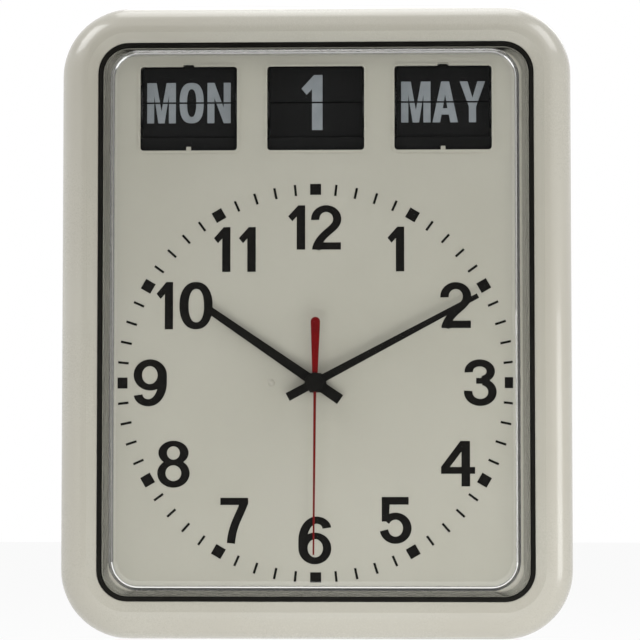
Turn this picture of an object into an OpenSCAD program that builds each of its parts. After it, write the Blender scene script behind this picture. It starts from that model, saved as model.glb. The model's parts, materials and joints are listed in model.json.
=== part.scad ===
/* [Case] */
// Width of the case
case_w = 322; // [300:1:360]
// Height of the case
case_h = 399; // [380:1:440]
// Radius of the case's outer corners
case_corner = 43.5; // [40:0.5:50]
// Height of the case's centre above the hands' axis
axis_drop = 39; // [34:0.5:44]
// Wall of the case and bezel
wall_t = 3; // [2.4:0.1:3.6]
// Width of the bezel band from the case's side to the gasket
bezel_w = 24; // [22:0.1:27]
// Distance from the wall to the front of the bezel
bezel_front = 64; // [62:0.5:70]
// Radius of the roll from the bezel's face to the case's side
roll_r = 17.5; // [12:0.5:19]
// Fall of the bezel's face towards the gasket
bezel_fall = 1.5; // [0.5:0.1:2.5]
// Thickness of the rear cover
cover_t = 3; // [2:0.1:4]
// Gap round the rear cover
cover_gap = 0.4; // [0.2:0.05:0.8]

/* [Dial and lens] */
// Distance from the wall to the back of the dial plate
dial_back = 54.9; // [54:0.1:58]
// Thickness of the dial plate
dial_t = 1.5; // [1:0.1:1.6]
// Distance from the case's side to the dial plate's edge
dial_inset = 12.25; // [11.5:0.25:14]
// Corner radius of the dial plate
dial_corner = 22; // [18:0.5:26]
// Radius of the ring of minute marks
marks_r = 121.8; // [110:0.2:124]
// Side of the square hour marks
hour_mark = 6.9; // [5:0.1:9]
// Length and width of a minute mark
minute_mark = [7, 1.5];
// Thickness of the applied marks
mark_t = 0.15; // [0.1:0.05:0.3]
// Distance from the wall to the front of the lens
lens_front = 88; // [82:0.5:92]
// Thickness of the lens
lens_t = 2.5; // [2:0.1:3]
// Lean of the lens's side walls from foot to face
lens_lean = 6.5; // [4:0.1:9]
// Lean of the lens's upper and lower walls from foot to face
lens_rise_lean = 4.4; // [3:0.1:9]
// Corner radius of the lens face
lens_corner = 18.5; // [14:0.5:22]
// Width of the lens flange behind the bezel
lens_flange = 6.5; // [4:0.1:7.5]
// Width of the gasket
gasket_w = 3.1; // [2:0.1:4]

/* [Calendar windows] */
// Width of a calendar window
window_w = 61.2; // [60.4:0.2:63]
// Height of a calendar window
window_h = 53.3; // [52:0.1:56]
// Corner radius of a window
window_corner = 2.2; // [1:0.1:4]
// Spacing of the windows
window_pitch = 80.25; // [78:0.25:82]
// Distance from the case's top down to the windows' centre
window_drop = 65.2; // [64:0.1:68]
// Height of the leaves' split above the windows' centre
split_rise = 4.2; // [3.5:0.1:4.6]

/* [Calendar mechanism] */
// Number of leaves in the day unit
day_leaves_n = 28; // [21:7:28]
// Number of leaves in the date unit
date_leaves_n = 31; // [31:1:31]
// Number of leaves in the month unit
month_leaves_n = 24; // [24:12:24]
// Distance from the wall to the drum axle
axle_depth = 38.5; // [38:0.1:39]
// Radius of the circle of leaf pins
pin_circle = 13; // [12:0.1:13.4]
// Width of a leaf
leaf_w = 58.5; // [56:0.5:59]
// Height of a standing leaf's tip above the split
leaf_top = 21.8; // [20:0.1:22]
// Thickness of a leaf
leaf_t = 0.3; // [0.2:0.05:0.4]
// Gap at the split between upper and lower leaf
split_gap = 1; // [0.6:0.1:1.4]
// Radius of a leaf's pins
leaf_pin = 0.3; // [0.2:0.05:0.35]
// Radius of the drum axle
axle_r = 2; // [1.5:0.1:2.5]
// Distance from the drum axle up to the lay shaft
lay_rise = 28.8; // [28:0.1:29]
// Radius of the lay shaft
lay_r = 1.5; // [1.2:0.1:2]
// Thickness of a calendar side plate
plate_t = 1.6; // [1.2:0.1:2]
// Diameter of the calendar motor
motor_d = 24; // [20:0.5:24]
// Length of the calendar motor
motor_len = 30; // [24:1:34]

/* [Clock movement] */
// Thickness of a movement wheel
wheel_t = 1; // [0.8:0.05:1.2]
// Step from one wheel layer to the next
layer_step = 1.7; // [1.6:0.05:1.8]
// Half the width of the movement's box
box_half = 28; // [26:0.5:32]
// Radius of the movement's centre bush
bush_r = 4.8; // [4.4:0.1:5.2]
// Radius of the hour pipe
hour_pipe_r = 3.2; // [3:0.05:3.4]
// Radius of the minute tube
minute_tube_r = 2.15; // [2:0.05:2.2]
// Radius of the second arbor
second_arbor_r = 1; // [0.8:0.05:1.1]

/* [Hands] */
// Length of the hour hand from its axis
hour_len = 82; // [70:1:92]
// Length of the minute hand from its axis
minute_len = 115; // [100:1:118]
// Length of the second hand from its axis
second_len = 107; // [95:1:118]
// Length of the second hand's broad tail
second_tail = 40.7; // [30:0.5:50]
// Thickness of a hand
hand_t = 0.8; // [0.5:0.1:1]
// Turn of the hour hand from twelve at rest
hour_turn = 304.5; // [0:0.5:360]
// Turn of the minute hand from twelve at rest
minute_turn = 62; // [0:0.5:360]
// Turn of the second hand from twelve at rest
second_turn = 180.5; // [0:0.5:360]

/* [Back] */
// Diameter of a battery cell
cell_d = 34; // [33:0.1:34.2]
// Length of a battery cell
cell_len = 61; // [59:0.5:61.5]
// Distance from the case's bottom up to the battery bay's centre
bay_rise = 44.5; // [40:0.5:60]
// Radius of the time-setting knob
knob_r = 7; // [5:0.5:9]
// Radius of a calendar-setting button
button_r = 3.5; // [3:0.1:5]
// Travel of a calendar-setting button
button_travel = 3; // [2:0.5:4]
// Radius of the keyhole's round entry
keyhole_r = 5; // [4:0.1:6]
// Radius of the keyhole's hanging slot
hang_slot_r = 2.5; // [2:0.1:3]
// Distance from the case's top down to the hanging slot's seat
hang_drop = 30.5; // [28:0.5:40]
// Drop from the hanging slot's seat to the keyhole's round entry
entry_drop = 12; // [11:0.5:14]

/* [Fits] */
// Radial clearance of a running fit
run_fit = 0.05; // [0.02:0.01:0.08]
// Clearance between assembled still parts
part_gap = 0.2; // [0.1:0.05:0.3]
// Clearance round loose moving parts
free_gap = 0.5; // [0.3:0.05:0.8]

/* [Hidden] */
$fn = 64;

case_colour = [0.78, 0.76, 0.70];
dial_colour = [0.69, 0.68, 0.63];
black = [0.08, 0.08, 0.08];
leaf_colour = [0.09, 0.09, 0.09];
steel = [0.66, 0.67, 0.68];
brass = [0.75, 0.62, 0.33];
nylon = [0.90, 0.89, 0.84];

// Corner centres shared by the case, gasket and lens foot
corner_x = case_w / 2 - case_corner;
corner_z = case_h / 2 - case_corner;
case_top = axis_drop + case_h / 2;
dial_w = case_w - 2 * dial_inset;
dial_h = case_h - 2 * dial_inset;
window_z = case_top - window_drop;
bay_z = axis_drop - case_h / 2 + bay_rise;
hang_z = case_top - hang_drop;
opening_r = case_corner - bezel_w;
lip_front = bezel_front - bezel_fall;
dial_front = dial_back + dial_t;
flange_back = dial_front + part_gap;
flange_t = lip_front - wall_t - flange_back - part_gap;
gasket_back = flange_back + flange_t + part_gap;
lens_foot_r = opening_r - gasket_w - part_gap;
lens_radius_edge = 6;
fastener_r = 1.5;
head_r = 2.9;
head_t = 1.8;
slot_w = 0.8;
slot_depth = 0.9;
rear_screw_len = 10;
dial_screw_len = 6;
frame_screw_len = 4.2;
thread_bite = 0.02;
press_gap = 0.01;
seat_gap = 0.02;

// Places of the screws, in the case's own frame
dial_screw_inset = 9.75;
dial_screw_x = dial_w / 2 - dial_screw_inset;
dial_screw_z = dial_h / 2 - dial_screw_inset;
rear_post_r = 5.5;
dial_boss_r = 4;
rear_inset = wall_t + rear_post_r - 0.8;
rear_screw_offset = (case_corner - rear_inset) * cos(45);
rear_post_top = 30;

// Split-flap units: place along X, number of leaves, and the gear teeth that drive them
split_z = window_z + split_rise;
lay_z = split_z + lay_rise;
disc_t = 1.2;
disc_in = leaf_w / 2 + 0.3;
disc_out = disc_in + disc_t;
disc_r = pin_circle + 2;
pin_len = disc_out - leaf_w / 2;
drum_gear_t = 2;
lay_teeth = 68;
date_teeth = 2 * date_leaves_n;
day_teeth = 2 * day_leaves_n;
month_teeth = 62;
date_gear_x = disc_out + free_gap;
day_gear_x = -window_pitch - disc_out - free_gap - drum_gear_t;
month_gear_x = window_pitch - disc_out - free_gap - drum_gear_t;
plate_in_x = window_pitch / 2;
plate_out_x = window_pitch * 1.5;
carry_x = date_gear_x + drum_gear_t + free_gap;
carry_t = 1.5;
input_teeth = 60;
reduction_pinion_teeth = 12;
reduction_wheel_teeth = 48;
motor_teeth = 10;
drive_module = 0.5;
input_x = -plate_in_x + plate_t / 2 + 2 * drum_gear_t + 1.8;
wheel_x = input_x - drum_gear_t - 1;
reduction_depth = axle_depth - (input_teeth + reduction_pinion_teeth) * drive_module / 2;
motor_z = lay_z + (reduction_wheel_teeth + motor_teeth) * drive_module / 2;
frame_top = lay_z + 18.5;
frame_back = axle_depth - 8;
frame_bottom = window_z - window_h / 2 - 5.5;
frame_lip_t = 1.6;
mask_t = 0.8;

// Going train: teeth, modules and centres
second_pinion_teeth = 10;
third_teeth = 80;
third_pinion_teeth = 10;
minute_teeth = 75;
cannon_teeth = 12;
motion_teeth = 36;
motion_pinion_teeth = 12;
hour_teeth = 48;
second_teeth = 60;
inter_pinion_teeth = 12;
inter_teeth = 60;
rotor_teeth = 10;
third_module = 0.25;
third_c = (third_teeth + second_pinion_teeth) * third_module / 2;
minute_module = 2 * third_c / (minute_teeth + third_pinion_teeth);
motion_module = 0.375;
motion_c = (motion_teeth + cannon_teeth) * motion_module / 2;
hour_module = 2 * motion_c / (hour_teeth + motion_pinion_teeth);
second_module = 0.32;
inter_c = (second_teeth + inter_pinion_teeth) * second_module / 2;
rotor_module = 0.3;
rotor_c = (inter_teeth + rotor_teeth) * rotor_module / 2;
third_dir = 150;
inter_dir = 20;
rotor_dir = 90;
third_at = third_c * [cos(third_dir), sin(third_dir)];
motion_at = [0, -motion_c];
knob_at = [0, -2 * motion_c];
inter_at = inter_c * [cos(inter_dir), sin(inter_dir)];
rotor_at = inter_at + rotor_c * [cos(rotor_dir), sin(rotor_dir)];
box_wall = 1.5;
box_up = 2;
base_back = dial_back - box_wall;
box_back = dial_back - 19;
box_floor = box_back + box_wall;
pivot_r = 0.5;
stud_r = 0.8;

// Rotor, stator, coil and board of the movement
rotor_r = 3;
coil_z = 23;
coil_r = 2.8;
coil_len = 18;
coil_x = -14;
stator_back = box_floor + 2.6;
stator_t = 1.6;
stator_posts = [rotor_at + [5.5, 3], [-16, coil_z]];
arbor_points = [third_at, inter_at, rotor_at];
board_front = base_back - 6;
board_posts = [[-23, 25], [2, 26]];

// Tooth form: share cut from its width, and height above and below the pitch circle in modules
tooth_slack = 0.16;
tooth_up = 0.7;
tooth_down = 1.0;

// Small pin on the dial, and the transfer wheel's sleeve
pin_x = -27.8;
pin_stem_r = 1.2;
sleeve_r = 4;

// Depths of the hands, bush and caps
bush_front = dial_front + 3.6;
nut_t = 2.6;
hour_hand_back = bush_front + 2;
minute_hand_back = hour_hand_back + hand_t + 3.2;
second_hand_back = minute_hand_back + hand_t + 3.2;
second_hand_t = 0.6;
cap_r = 6;
cap_t = 2.7;

// Battery bay in the rear cover
bay_wall = 2;
bay_len = 2 * cell_len + 9;
bay_height = cell_d + 3;
bay_depth = cell_d + 5;
door_t = 2;
cell_depth = door_t + 1.2 + cell_d / 2;

// Vents in the rear cover
vent_x = 70;
vent_z = 20;
vent_pitch = 7;
vent_len = 34;
vent_h = 2.6;

// Rear of the clock: knob and buttons
knob_back = 0.8;
knob_len = 11;
button_z = lay_z + 8;
button_xs = [-window_pitch - 12, 30, window_pitch + 12];
button_len = 9;
button_guide_r = button_r + 2;
collar_back = 3.5;
button_guide_len = collar_back + 0.5 + button_travel;
hanger_t = 1.5;
hanger_w = 30;
cover_slot_w = 16;
hanger_h = 46;
hanger_drop = 6;
hanger_back = cover_t + 1.2;
stud_points = [for (x = [-11, 11], z = [-24, 12]) [x, hang_z + z]];
hanger_stud_r = 1.6;

// Layer i of the going train, front face first
function layer(i) = dial_back - 2.7 - i * layer_step;

// Involute function in degrees and half the angle of a tooth at radius r
function inv(a) = tan(a) * 180 / PI - a;
function tooth_half(n, m, r) =
    let (rp = n * m / 2, rb = rp * cos(20), a = acos(min(1, rb / max(r, rb))))
    90 / n * (1 - tooth_slack) + inv(20) - inv(a);

// Phase of gear 2 that meshes with gear 1 in direction dir
function mesh_phase(n1, p1, n2, dir) = dir + 180 + (n1 * (dir - p1) - 180) / n2;

// Outline of a gear with n teeth of module m, one tooth pointing along phase
module gear_shape(n, m, phase = 0) {
    rp = n * m / 2;
    radii = [rp - tooth_down * m, rp, rp + tooth_up * m];
    polygon([
        for (i = [0 : n - 1])
            let (mid = phase + i * 360 / n)
            for (j = [0 : 5])
                let (k = j < 3 ? j : 5 - j, side = j < 3 ? -1 : 1, r = radii[k],
                     a = mid + side * tooth_half(n, m, r))
                r * [cos(a), sin(a)]
    ]);
}

// Turns the flat frame (x, height, depth) upright, depth running to the front
module upright() {
    rotate([90, 0, 0]) children();
}

// A flat shape in (x, height) from depth d0 to depth d1
module slab(d0, d1) {
    upright() translate([0, 0, d0]) linear_extrude(d1 - d0) children();
}

// A flat shape in (depth, height) from x0 to x1
module across(x0, x1) {
    translate([x0, 0, 0]) rotate([90, 0, 90]) linear_extrude(x1 - x0) mirror([1, 0]) children();
}

// A round bar along the depth at point p
module bar(p, r, d0, d1) {
    slab(d0, d1) translate(p) circle(r);
}

// A round bar across the clock at depth d and height z
module shaft(d, z, r, x0, x1) {
    across(x0, x1) translate([d, z]) circle(r);
}

// A rectangle with round corners, centred
module round_rect(w, h, r) {
    square([w - 2 * r, h], center = true);
    square([w, h - 2 * r], center = true);
    for (sx = [-1, 1], sy = [-1, 1])
        translate([sx * (w / 2 - r), sy * (h / 2 - r)]) circle(r);
}

// Sweeps a profile (distance from the corner centre, depth) round the case
module rim_sweep() {
    translate([0, 0, axis_drop]) upright() {
        for (a = [0 : 90 : 270]) {
            long = a % 180 == 0;
            turned = [a == 0 || a == 270 ? 1 : -1, a < 180 ? 1 : -1];
            translate([turned[0] * corner_x, turned[1] * corner_z, 0])
                rotate([0, 0, a]) rotate_extrude(angle = 90) children();
            rotate([0, 0, a]) translate([long ? corner_x : corner_z, 0, 0]) rotate([90, 0, 0])
                linear_extrude(2 * (long ? corner_z : corner_x), center = true) children();
        }
    }
}

// Places children at the four points (+-x, +-z) round the case's centre
module four(x, z) {
    for (sx = [-1, 1], sz = [-1, 1])
        translate([sx * x, 0, axis_drop + sz * z]) children();
}

// Half of the case's section: the face, the roll and the side, grown inwards by t
module case_outline(t, back) {
    flat_r = case_corner - roll_r;
    roll_d = bezel_front - roll_r;
    polygon([
        [opening_r - (t > 0 ? 1 : 0), lip_front - t], [flat_r, bezel_front - t], [flat_r, roll_d],
        [case_corner - t, roll_d], [case_corner - t, back], [opening_r - (t > 0 ? 1 : 0), back]
    ]);
    translate([flat_r, roll_d]) intersection() {
        circle(roll_r - t);
        translate([0, -roll_r]) square(2 * roll_r);
    }
}

module front_case() {
    color(case_colour) {
        rim_sweep() difference() {
            case_outline(0, 0);
            case_outline(wall_t, -1);
        }
        four(dial_screw_x, dial_screw_z) difference() {
            bar([0, 0], dial_boss_r, dial_front + part_gap, lip_front - wall_t / 2);
            bar([0, 0], fastener_r + thread_bite, dial_front, dial_front + dial_screw_len - 2);
        }
        four(corner_x + rear_screw_offset, corner_z + rear_screw_offset) rear_post();
        for (s = [-1, 1])
            translate([s * (case_w / 2 - rear_inset), 0, axis_drop]) rear_post();
    }
}

// Post for a rear screw, standing on the case's side wall
module rear_post() {
    difference() {
        bar([0, 0], rear_post_r, cover_t, rear_post_top);
        bar([0, 0], fastener_r + thread_bite, cover_t - 1, cover_t + rear_screw_len - 1);
    }
}

module rear_cover() {
    inset = wall_t + cover_gap;
    bay_w = bay_len + 2 * bay_wall;
    bay_h = bay_height + 2 * bay_wall;
    color(case_colour) difference() {
        union() {
            translate([0, 0, axis_drop]) slab(0, cover_t)
                round_rect(case_w - 2 * inset, case_h - 2 * inset, case_corner - inset);
            translate([0, 0, bay_z]) slab(0, bay_depth + bay_wall) round_rect(bay_w, bay_h, 3);
            for (x = button_xs)
                bar([x, button_z], button_guide_r, 0, button_guide_len);
            bar(knob_at, knob_r + 3, 0, 6);
            translate([0, 0, hang_z - hanger_drop + 2]) slab(cover_t, hanger_back)
                square([hanger_w - 4, hanger_h - 2], center = true);
            for (p = stud_points) {
                bar(p, hanger_stud_r, cover_t, hanger_back + hanger_t + 1);
                bar(p, hanger_stud_r + 1.2, hanger_back + hanger_t + 0.05, hanger_back + hanger_t + 1);
            }
        }
        translate([0, 0, bay_z]) {
            slab(door_t, bay_depth) square([bay_len, bay_height], center = true);
            slab(-1, door_t + part_gap)
                square([bay_w + 8 + 2 * part_gap, bay_h + 2 * part_gap], center = true);
        }
        bar(knob_at, knob_r + free_gap, -1, 7);
        for (x = button_xs) {
            bar([x, button_z], button_r + run_fit, -1, button_guide_len + 1);
            bar([x, button_z], button_r + 1, collar_back, button_guide_len + 1);
        }
        translate([0, 0, hang_z - entry_drop - keyhole_r - 6]) slab(-1, cover_t + 2)
            translate([-cover_slot_w / 2, 0]) square([cover_slot_w, entry_drop + keyhole_r + 12]);
        four(corner_x + rear_screw_offset, corner_z + rear_screw_offset) rear_screw_hole();
        for (s = [-1, 1])
            translate([s * (case_w / 2 - rear_inset), 0, axis_drop]) rear_screw_hole();
        for (s = [-1, 1], i = [0 : 5])
            translate([s * vent_x, 0, vent_z + i * vent_pitch]) slab(-1, cover_t + 1)
                round_rect(vent_len, vent_h, vent_h / 2 - 0.01);
    }
}

// Hole for a rear screw, with a sink for its head
module rear_screw_hole() {
    bar([0, 0], fastener_r + part_gap, -1, cover_t + 1);
    bar([0, 0], head_r + part_gap, -1, head_t);
}

// A pan screw whose head lies at depth d and whose shank runs to the front
module screw(d, len) {
    difference() {
        union() {
            bar([0, 0], head_r, d, d + head_t - part_gap);
            bar([0, 0], fastener_r, d, d + len);
        }
        slab(d - 1, d + slot_depth) {
            square([2 * head_r - 2.4, slot_w], center = true);
            square([slot_w, 2 * head_r - 2.4], center = true);
        }
    }
}

module rear_screws() {
    color(steel) {
        four(corner_x + rear_screw_offset, corner_z + rear_screw_offset) screw(part_gap, rear_screw_len);
        for (s = [-1, 1])
            translate([s * (case_w / 2 - rear_inset), 0, axis_drop]) screw(part_gap, rear_screw_len);
    }
}

// Steel keyhole plate behind the top of the rear cover
module hanger_plate() {
    color(steel) difference() {
        translate([0, 0, hang_z - hanger_drop]) slab(hanger_back, hanger_back + hanger_t)
            round_rect(hanger_w, hanger_h, 3);
        translate([0, 0, hang_z]) slab(hanger_back - 1, hanger_back + hanger_t + 1) {
            translate([0, -entry_drop]) circle(keyhole_r);
            translate([0, -entry_drop / 2]) square([2 * hang_slot_r, entry_drop], center = true);
            circle(hang_slot_r);
        }
        for (p = stud_points)
            bar(p, hanger_stud_r + part_gap, hanger_back - 1, hanger_back + hanger_t + 1);
    }
}

// One closed shape of the lens, shrunk by t, with its face at depth front
module lens_form(t, front) {
    foot_x = 2 * (corner_x + lens_foot_r - t);
    foot_z = 2 * (corner_z + lens_foot_r - t);
    face_x = foot_x - 2 * lens_lean;
    face_z = foot_z - 2 * lens_rise_lean;
    face_r = lens_corner - t;
    edge = lens_radius_edge - t / 2;
    $fn = 32;
    hull() {
        slab(flange_back - (t > 0 ? 1 : 0), flange_back + flange_t)
            round_rect(foot_x, foot_z, lens_foot_r - t);
        for (a = [0 : 30 : 90])
            slab(front - edge * (1 - sin(a)) - 0.01, front - edge * (1 - sin(a)))
                round_rect(face_x - 2 * edge * (1 - cos(a)), face_z - 2 * edge * (1 - cos(a)),
                           face_r - edge * (1 - cos(a)));
    }
}

module lens() {
    reach = lens_foot_r + gasket_w + lens_flange;
    color([0.9, 0.92, 0.92, 0.3]) translate([0, 0, axis_drop]) difference() {
        union() {
            slab(flange_back, flange_back + flange_t)
                round_rect(2 * (corner_x + reach), 2 * (corner_z + reach), reach);
            lens_form(0, lens_front);
        }
        lens_form(lens_t, lens_front - lens_t);
    }
}

module lens_gasket() {
    color(black) rim_sweep() {
        translate([opening_r - gasket_w, gasket_back])
            square([gasket_w - part_gap / 2, lip_front - gasket_back - 0.6]);
        translate([opening_r - gasket_w + 0.6, gasket_back])
            square([gasket_w - 1.2, lip_front - gasket_back + 0.5]);
    }
}

// The three window outlines
module windows(grow) {
    for (i = [-1 : 1])
        translate([i * window_pitch, window_z])
            round_rect(window_w + 2 * grow, window_h + 2 * grow, window_corner + grow);
}

module dial_plate() {
    rim_w = 1.6;
    rim_h = 0.5;
    tab_w = 2.9;
    tab_h = 2.4;
    notch_w = 7;
    notch_h = 1.2;
    color(dial_colour) {
        difference() {
            union() {
                translate([0, 0, axis_drop]) slab(dial_back, dial_front)
                    round_rect(dial_w, dial_h, dial_corner);
                slab(dial_front - 0.1, dial_front + rim_h) difference() {
                    windows(rim_w);
                    windows(0);
                }
            }
            slab(dial_back - 1, dial_front + 0.05) windows(0);
            for (s = [-1, 1])
                translate([s * window_pitch, 0, window_z + window_h / 2]) slab(dial_back - 1, dial_front + 1)
                    square([notch_w, 2 * notch_h], center = true);
            bar([0, 0], bush_r + part_gap, dial_back - 1, dial_front + 1);
            bar([pin_x, 0], pin_stem_r + seat_gap, dial_back - 1, dial_front + 1);
            four(dial_screw_x, dial_screw_z)
                bar([0, 0], fastener_r + part_gap, dial_back - 1, dial_front + 1);
            for (p = frame_screw_points)
                bar(p, fastener_r + thread_bite, dial_back - 1, dial_front - 0.4);
        }
        for (s = [-1, 1])
            translate([s * window_pitch, 0, window_z - window_h / 2 + tab_h / 2 - 0.5])
                slab(dial_back, dial_front) square([tab_w, tab_h + 1], center = true);
    }
}

// Small domed pin left of the hands
module dial_pin() {
    dome_r = 2.3;
    color(nylon) {
        bar([pin_x, 0], pin_stem_r, dial_back, dial_front);
        translate([pin_x, 0, 0]) upright() translate([0, 0, dial_front]) rotate_extrude()
            intersection() {
                translate([0, -1.6]) circle(2.8);
                square([dome_r, 3]);
            }
    }
}

module dial_markers() {
    color(black) for (i = [0 : 59])
        rotate([0, i * 6, 0]) translate([0, 0, marks_r]) slab(dial_front, dial_front + mark_t)
            square(i % 5 == 0 ? [hour_mark, hour_mark] : [minute_mark[1], minute_mark[0]], center = true);
}

module dial_screws() {
    color(steel) four(dial_screw_x, dial_screw_z) screw(dial_back - head_t + part_gap, dial_screw_len);
}

module battery_door() {
    bay_w = bay_len + 2 * bay_wall;
    bay_h = bay_height + 2 * bay_wall;
    color(case_colour) translate([0, 0, bay_z]) difference() {
        slab(0, door_t) square([bay_w + 8, bay_h], center = true);
        for (i = [-2 : 2])
            translate([i * 5, 0, 0]) slab(-1, 0.7) square([1.6, 16], center = true);
    }
}

module battery_cells() {
    nub_len = 1.4;
    body_len = cell_len - nub_len;
    color([0.35, 0.36, 0.38]) for (s = [0, 1]) {
        x0 = -cell_len + s * (cell_len + 0.4) - 0.2;
        shaft(cell_depth, bay_z, cell_d / 2, x0, x0 + body_len);
        shaft(cell_depth, bay_z, 4.7, x0 + body_len, x0 + cell_len);
    }
}

// Bent strip contacts at both ends of the battery bay
module cell_contacts() {
    strip_t = 0.5;
    end_x = bay_len / 2;
    bulge = (bay_len - 2 * cell_len - 0.4) / 2 - 0.3;
    color(brass) for (s = [-1, 1]) scale([s, 1, 1])
        translate([0, 0, bay_z]) difference() {
            slab(cell_depth - 10, cell_depth + 10) polygon([
                [end_x - strip_t, 9], [end_x, 9], [end_x, -9], [end_x - strip_t, -9],
                [end_x - bulge, -4], [end_x - bulge, 4]
            ]);
            slab(cell_depth - 11, cell_depth + 11) polygon([
                [end_x - strip_t, 7.5], [end_x - strip_t, -7.5],
                [end_x - bulge + strip_t, -3.7], [end_x - bulge + strip_t, 3.7]
            ]);
        }
}

// Outline of the movement's box
module box_shape(t) {
    translate([0, box_up]) round_rect(2 * (box_half - t), 2 * (box_half - t), 3 - t);
}

module movement_base() {
    color([0.25, 0.25, 0.27]) difference() {
        union() {
            slab(base_back, dial_back) box_shape(0);
            bar(motion_at, stud_r, layer(1) - wheel_t - 0.2, base_back);
            for (p = board_posts) bar(p, 1.2, board_front, base_back);
        }
        bar([0, 0], bush_r + seat_gap, base_back - 1, dial_back + 1);
        for (p = concat(arbor_points, [knob_at]))
            bar(p, pivot_r + run_fit, base_back - 1, base_back + 1);
    }
}

module movement_cover() {
    boss_r = 1.7;
    boss_len = 1.8;
    color([0.20, 0.20, 0.22]) difference() {
        union() {
            difference() {
                slab(box_back, base_back) box_shape(0);
                slab(box_floor, base_back + 1) box_shape(box_wall);
            }
            for (p = concat(arbor_points, [[0, 0]])) bar(p, boss_r, box_floor - 0.1, box_floor + boss_len);
            bar(knob_at, 3, box_floor - 0.1, box_floor + 4);
            for (p = stator_posts) bar(p, 1.2, box_floor - 0.1, stator_back);
        }
        for (p = concat(arbor_points, [[0, 0]]))
            bar(p, pivot_r + run_fit, box_floor + 0.4, box_floor + 3);
        bar(knob_at, second_arbor_r + 0.5 + run_fit, box_back - 1, box_floor + 5);
    }
}

module centre_bush() {
    color(brass) difference() {
        union() {
            bar([0, 0], bush_r, base_back, bush_front);
            bar([0, 0], bush_r + 1.4, base_back - 0.7, base_back);
        }
        bar([0, 0], hour_pipe_r + run_fit, base_back - 1, bush_front + 1);
    }
}

module dial_nut() {
    color(brass) difference() {
        slab(dial_front, dial_front + nut_t) circle(r = bush_r + 2.2, $fn = 6);
        bar([0, 0], bush_r + thread_bite, dial_front - 1, dial_front + nut_t + 1);
    }
}

// A flat hand at twelve: a bar tapering from the tail to the tip, and a round boss
module hand_shape(len, tail, tip_w, tail_w, boss_r, bore_r) {
    difference() {
        union() {
            polygon([[-tail_w / 2, -tail], [tail_w / 2, -tail], [tip_w / 2, len], [-tip_w / 2, len]]);
            circle(boss_r);
        }
        circle(bore_r);
    }
}

module hour_hand() {
    color(black) rotate([0, hour_turn, 0]) {
        slab(hour_hand_back, hour_hand_back + hand_t)
            hand_shape(hour_len, 18.8, 4.7, 6.8, 5.4, hour_pipe_r + press_gap);
        slab(hour_hand_back - 1.4, hour_hand_back) difference() {
            circle(hour_pipe_r + 1);
            circle(hour_pipe_r + press_gap);
        }
    }
}

module minute_hand() {
    color(black) rotate([0, minute_turn, 0]) {
        slab(minute_hand_back, minute_hand_back + hand_t)
            hand_shape(minute_len, 19.4, 3.1, 5.5, 5.4, minute_tube_r + press_gap);
        slab(minute_hand_back - 2.4, minute_hand_back) difference() {
            circle(minute_tube_r + 1);
            circle(minute_tube_r + press_gap);
        }
    }
}

module second_hand() {
    tail_w = 5.9;
    hub_w = 3;
    color([0.45, 0.04, 0.06]) rotate([0, second_turn, 0]) {
        slab(second_hand_back, second_hand_back + second_hand_t) difference() {
            union() {
                polygon([[-0.9, 0], [0.9, 0], [0.5, second_len], [-0.5, second_len]]);
                polygon([
                    [-hub_w / 2, 0], [-tail_w / 2, -second_tail + tail_w / 2],
                    [tail_w / 2, -second_tail + tail_w / 2], [hub_w / 2, 0]
                ]);
                translate([0, -second_tail + tail_w / 2]) circle(tail_w / 2);
                circle(3);
            }
            circle(second_arbor_r + press_gap);
        }
        slab(second_hand_back - 2.4, second_hand_back) difference() {
            circle(second_arbor_r + 0.8);
            circle(second_arbor_r + press_gap);
        }
    }
}

module hub_cap() {
    back = second_hand_back + second_hand_t;
    color(black) upright() translate([0, 0, back]) rotate_extrude() {
        square([cap_r, cap_t - 1]);
        intersection() {
            translate([cap_r - 1, cap_t - 1]) circle(1);
            square([cap_r, cap_t]);
        }
        square([cap_r - 1, cap_t]);
    }
}

// Phases of the train's gears, worked outwards from the second pinion
second_phase = 0;
third_phase = mesh_phase(second_pinion_teeth, second_phase, third_teeth, third_dir);
minute_phase = mesh_phase(third_pinion_teeth, third_phase, minute_teeth, third_dir + 180);
motion_phase = mesh_phase(cannon_teeth, minute_phase, motion_teeth, -90);
hour_phase = mesh_phase(motion_pinion_teeth, motion_phase, hour_teeth, 90);
knob_phase = mesh_phase(motion_teeth, motion_phase, cannon_teeth, -90);
inter_phase = mesh_phase(second_teeth, second_phase, inter_pinion_teeth, inter_dir);
rotor_phase = mesh_phase(inter_teeth, inter_phase, rotor_teeth, rotor_dir);

// A gear of layer i at point p
module train_gear(i, p, n, m, phase, bore_r = 0) {
    slab(layer(i) - wheel_t, layer(i)) translate(p) difference() {
        gear_shape(n, m, phase);
        if (bore_r > 0) circle(bore_r);
    }
}

// A tube on the hands' axis
module tube(r_out, r_in, d0, d1) {
    slab(d0, d1) difference() {
        circle(r_out);
        circle(r_in);
    }
}

module hour_wheel() {
    bore = minute_tube_r + run_fit;
    color(nylon) {
        train_gear(0, [0, 0], hour_teeth, hour_module, hour_phase, bore);
        tube(hour_pipe_r, bore, layer(0) - wheel_t, hour_hand_back + hand_t + 0.3);
    }
}

module minute_wheel() {
    bore = second_arbor_r + run_fit;
    color(nylon) {
        train_gear(2, [0, 0], minute_teeth, minute_module, minute_phase, bore);
        train_gear(1, [0, 0], cannon_teeth, motion_module, minute_phase, bore);
        tube(1.8, bore, layer(2) - wheel_t, layer(1));
        tube(minute_tube_r, bore, layer(1), minute_hand_back + hand_t + 0.3);
    }
}

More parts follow.
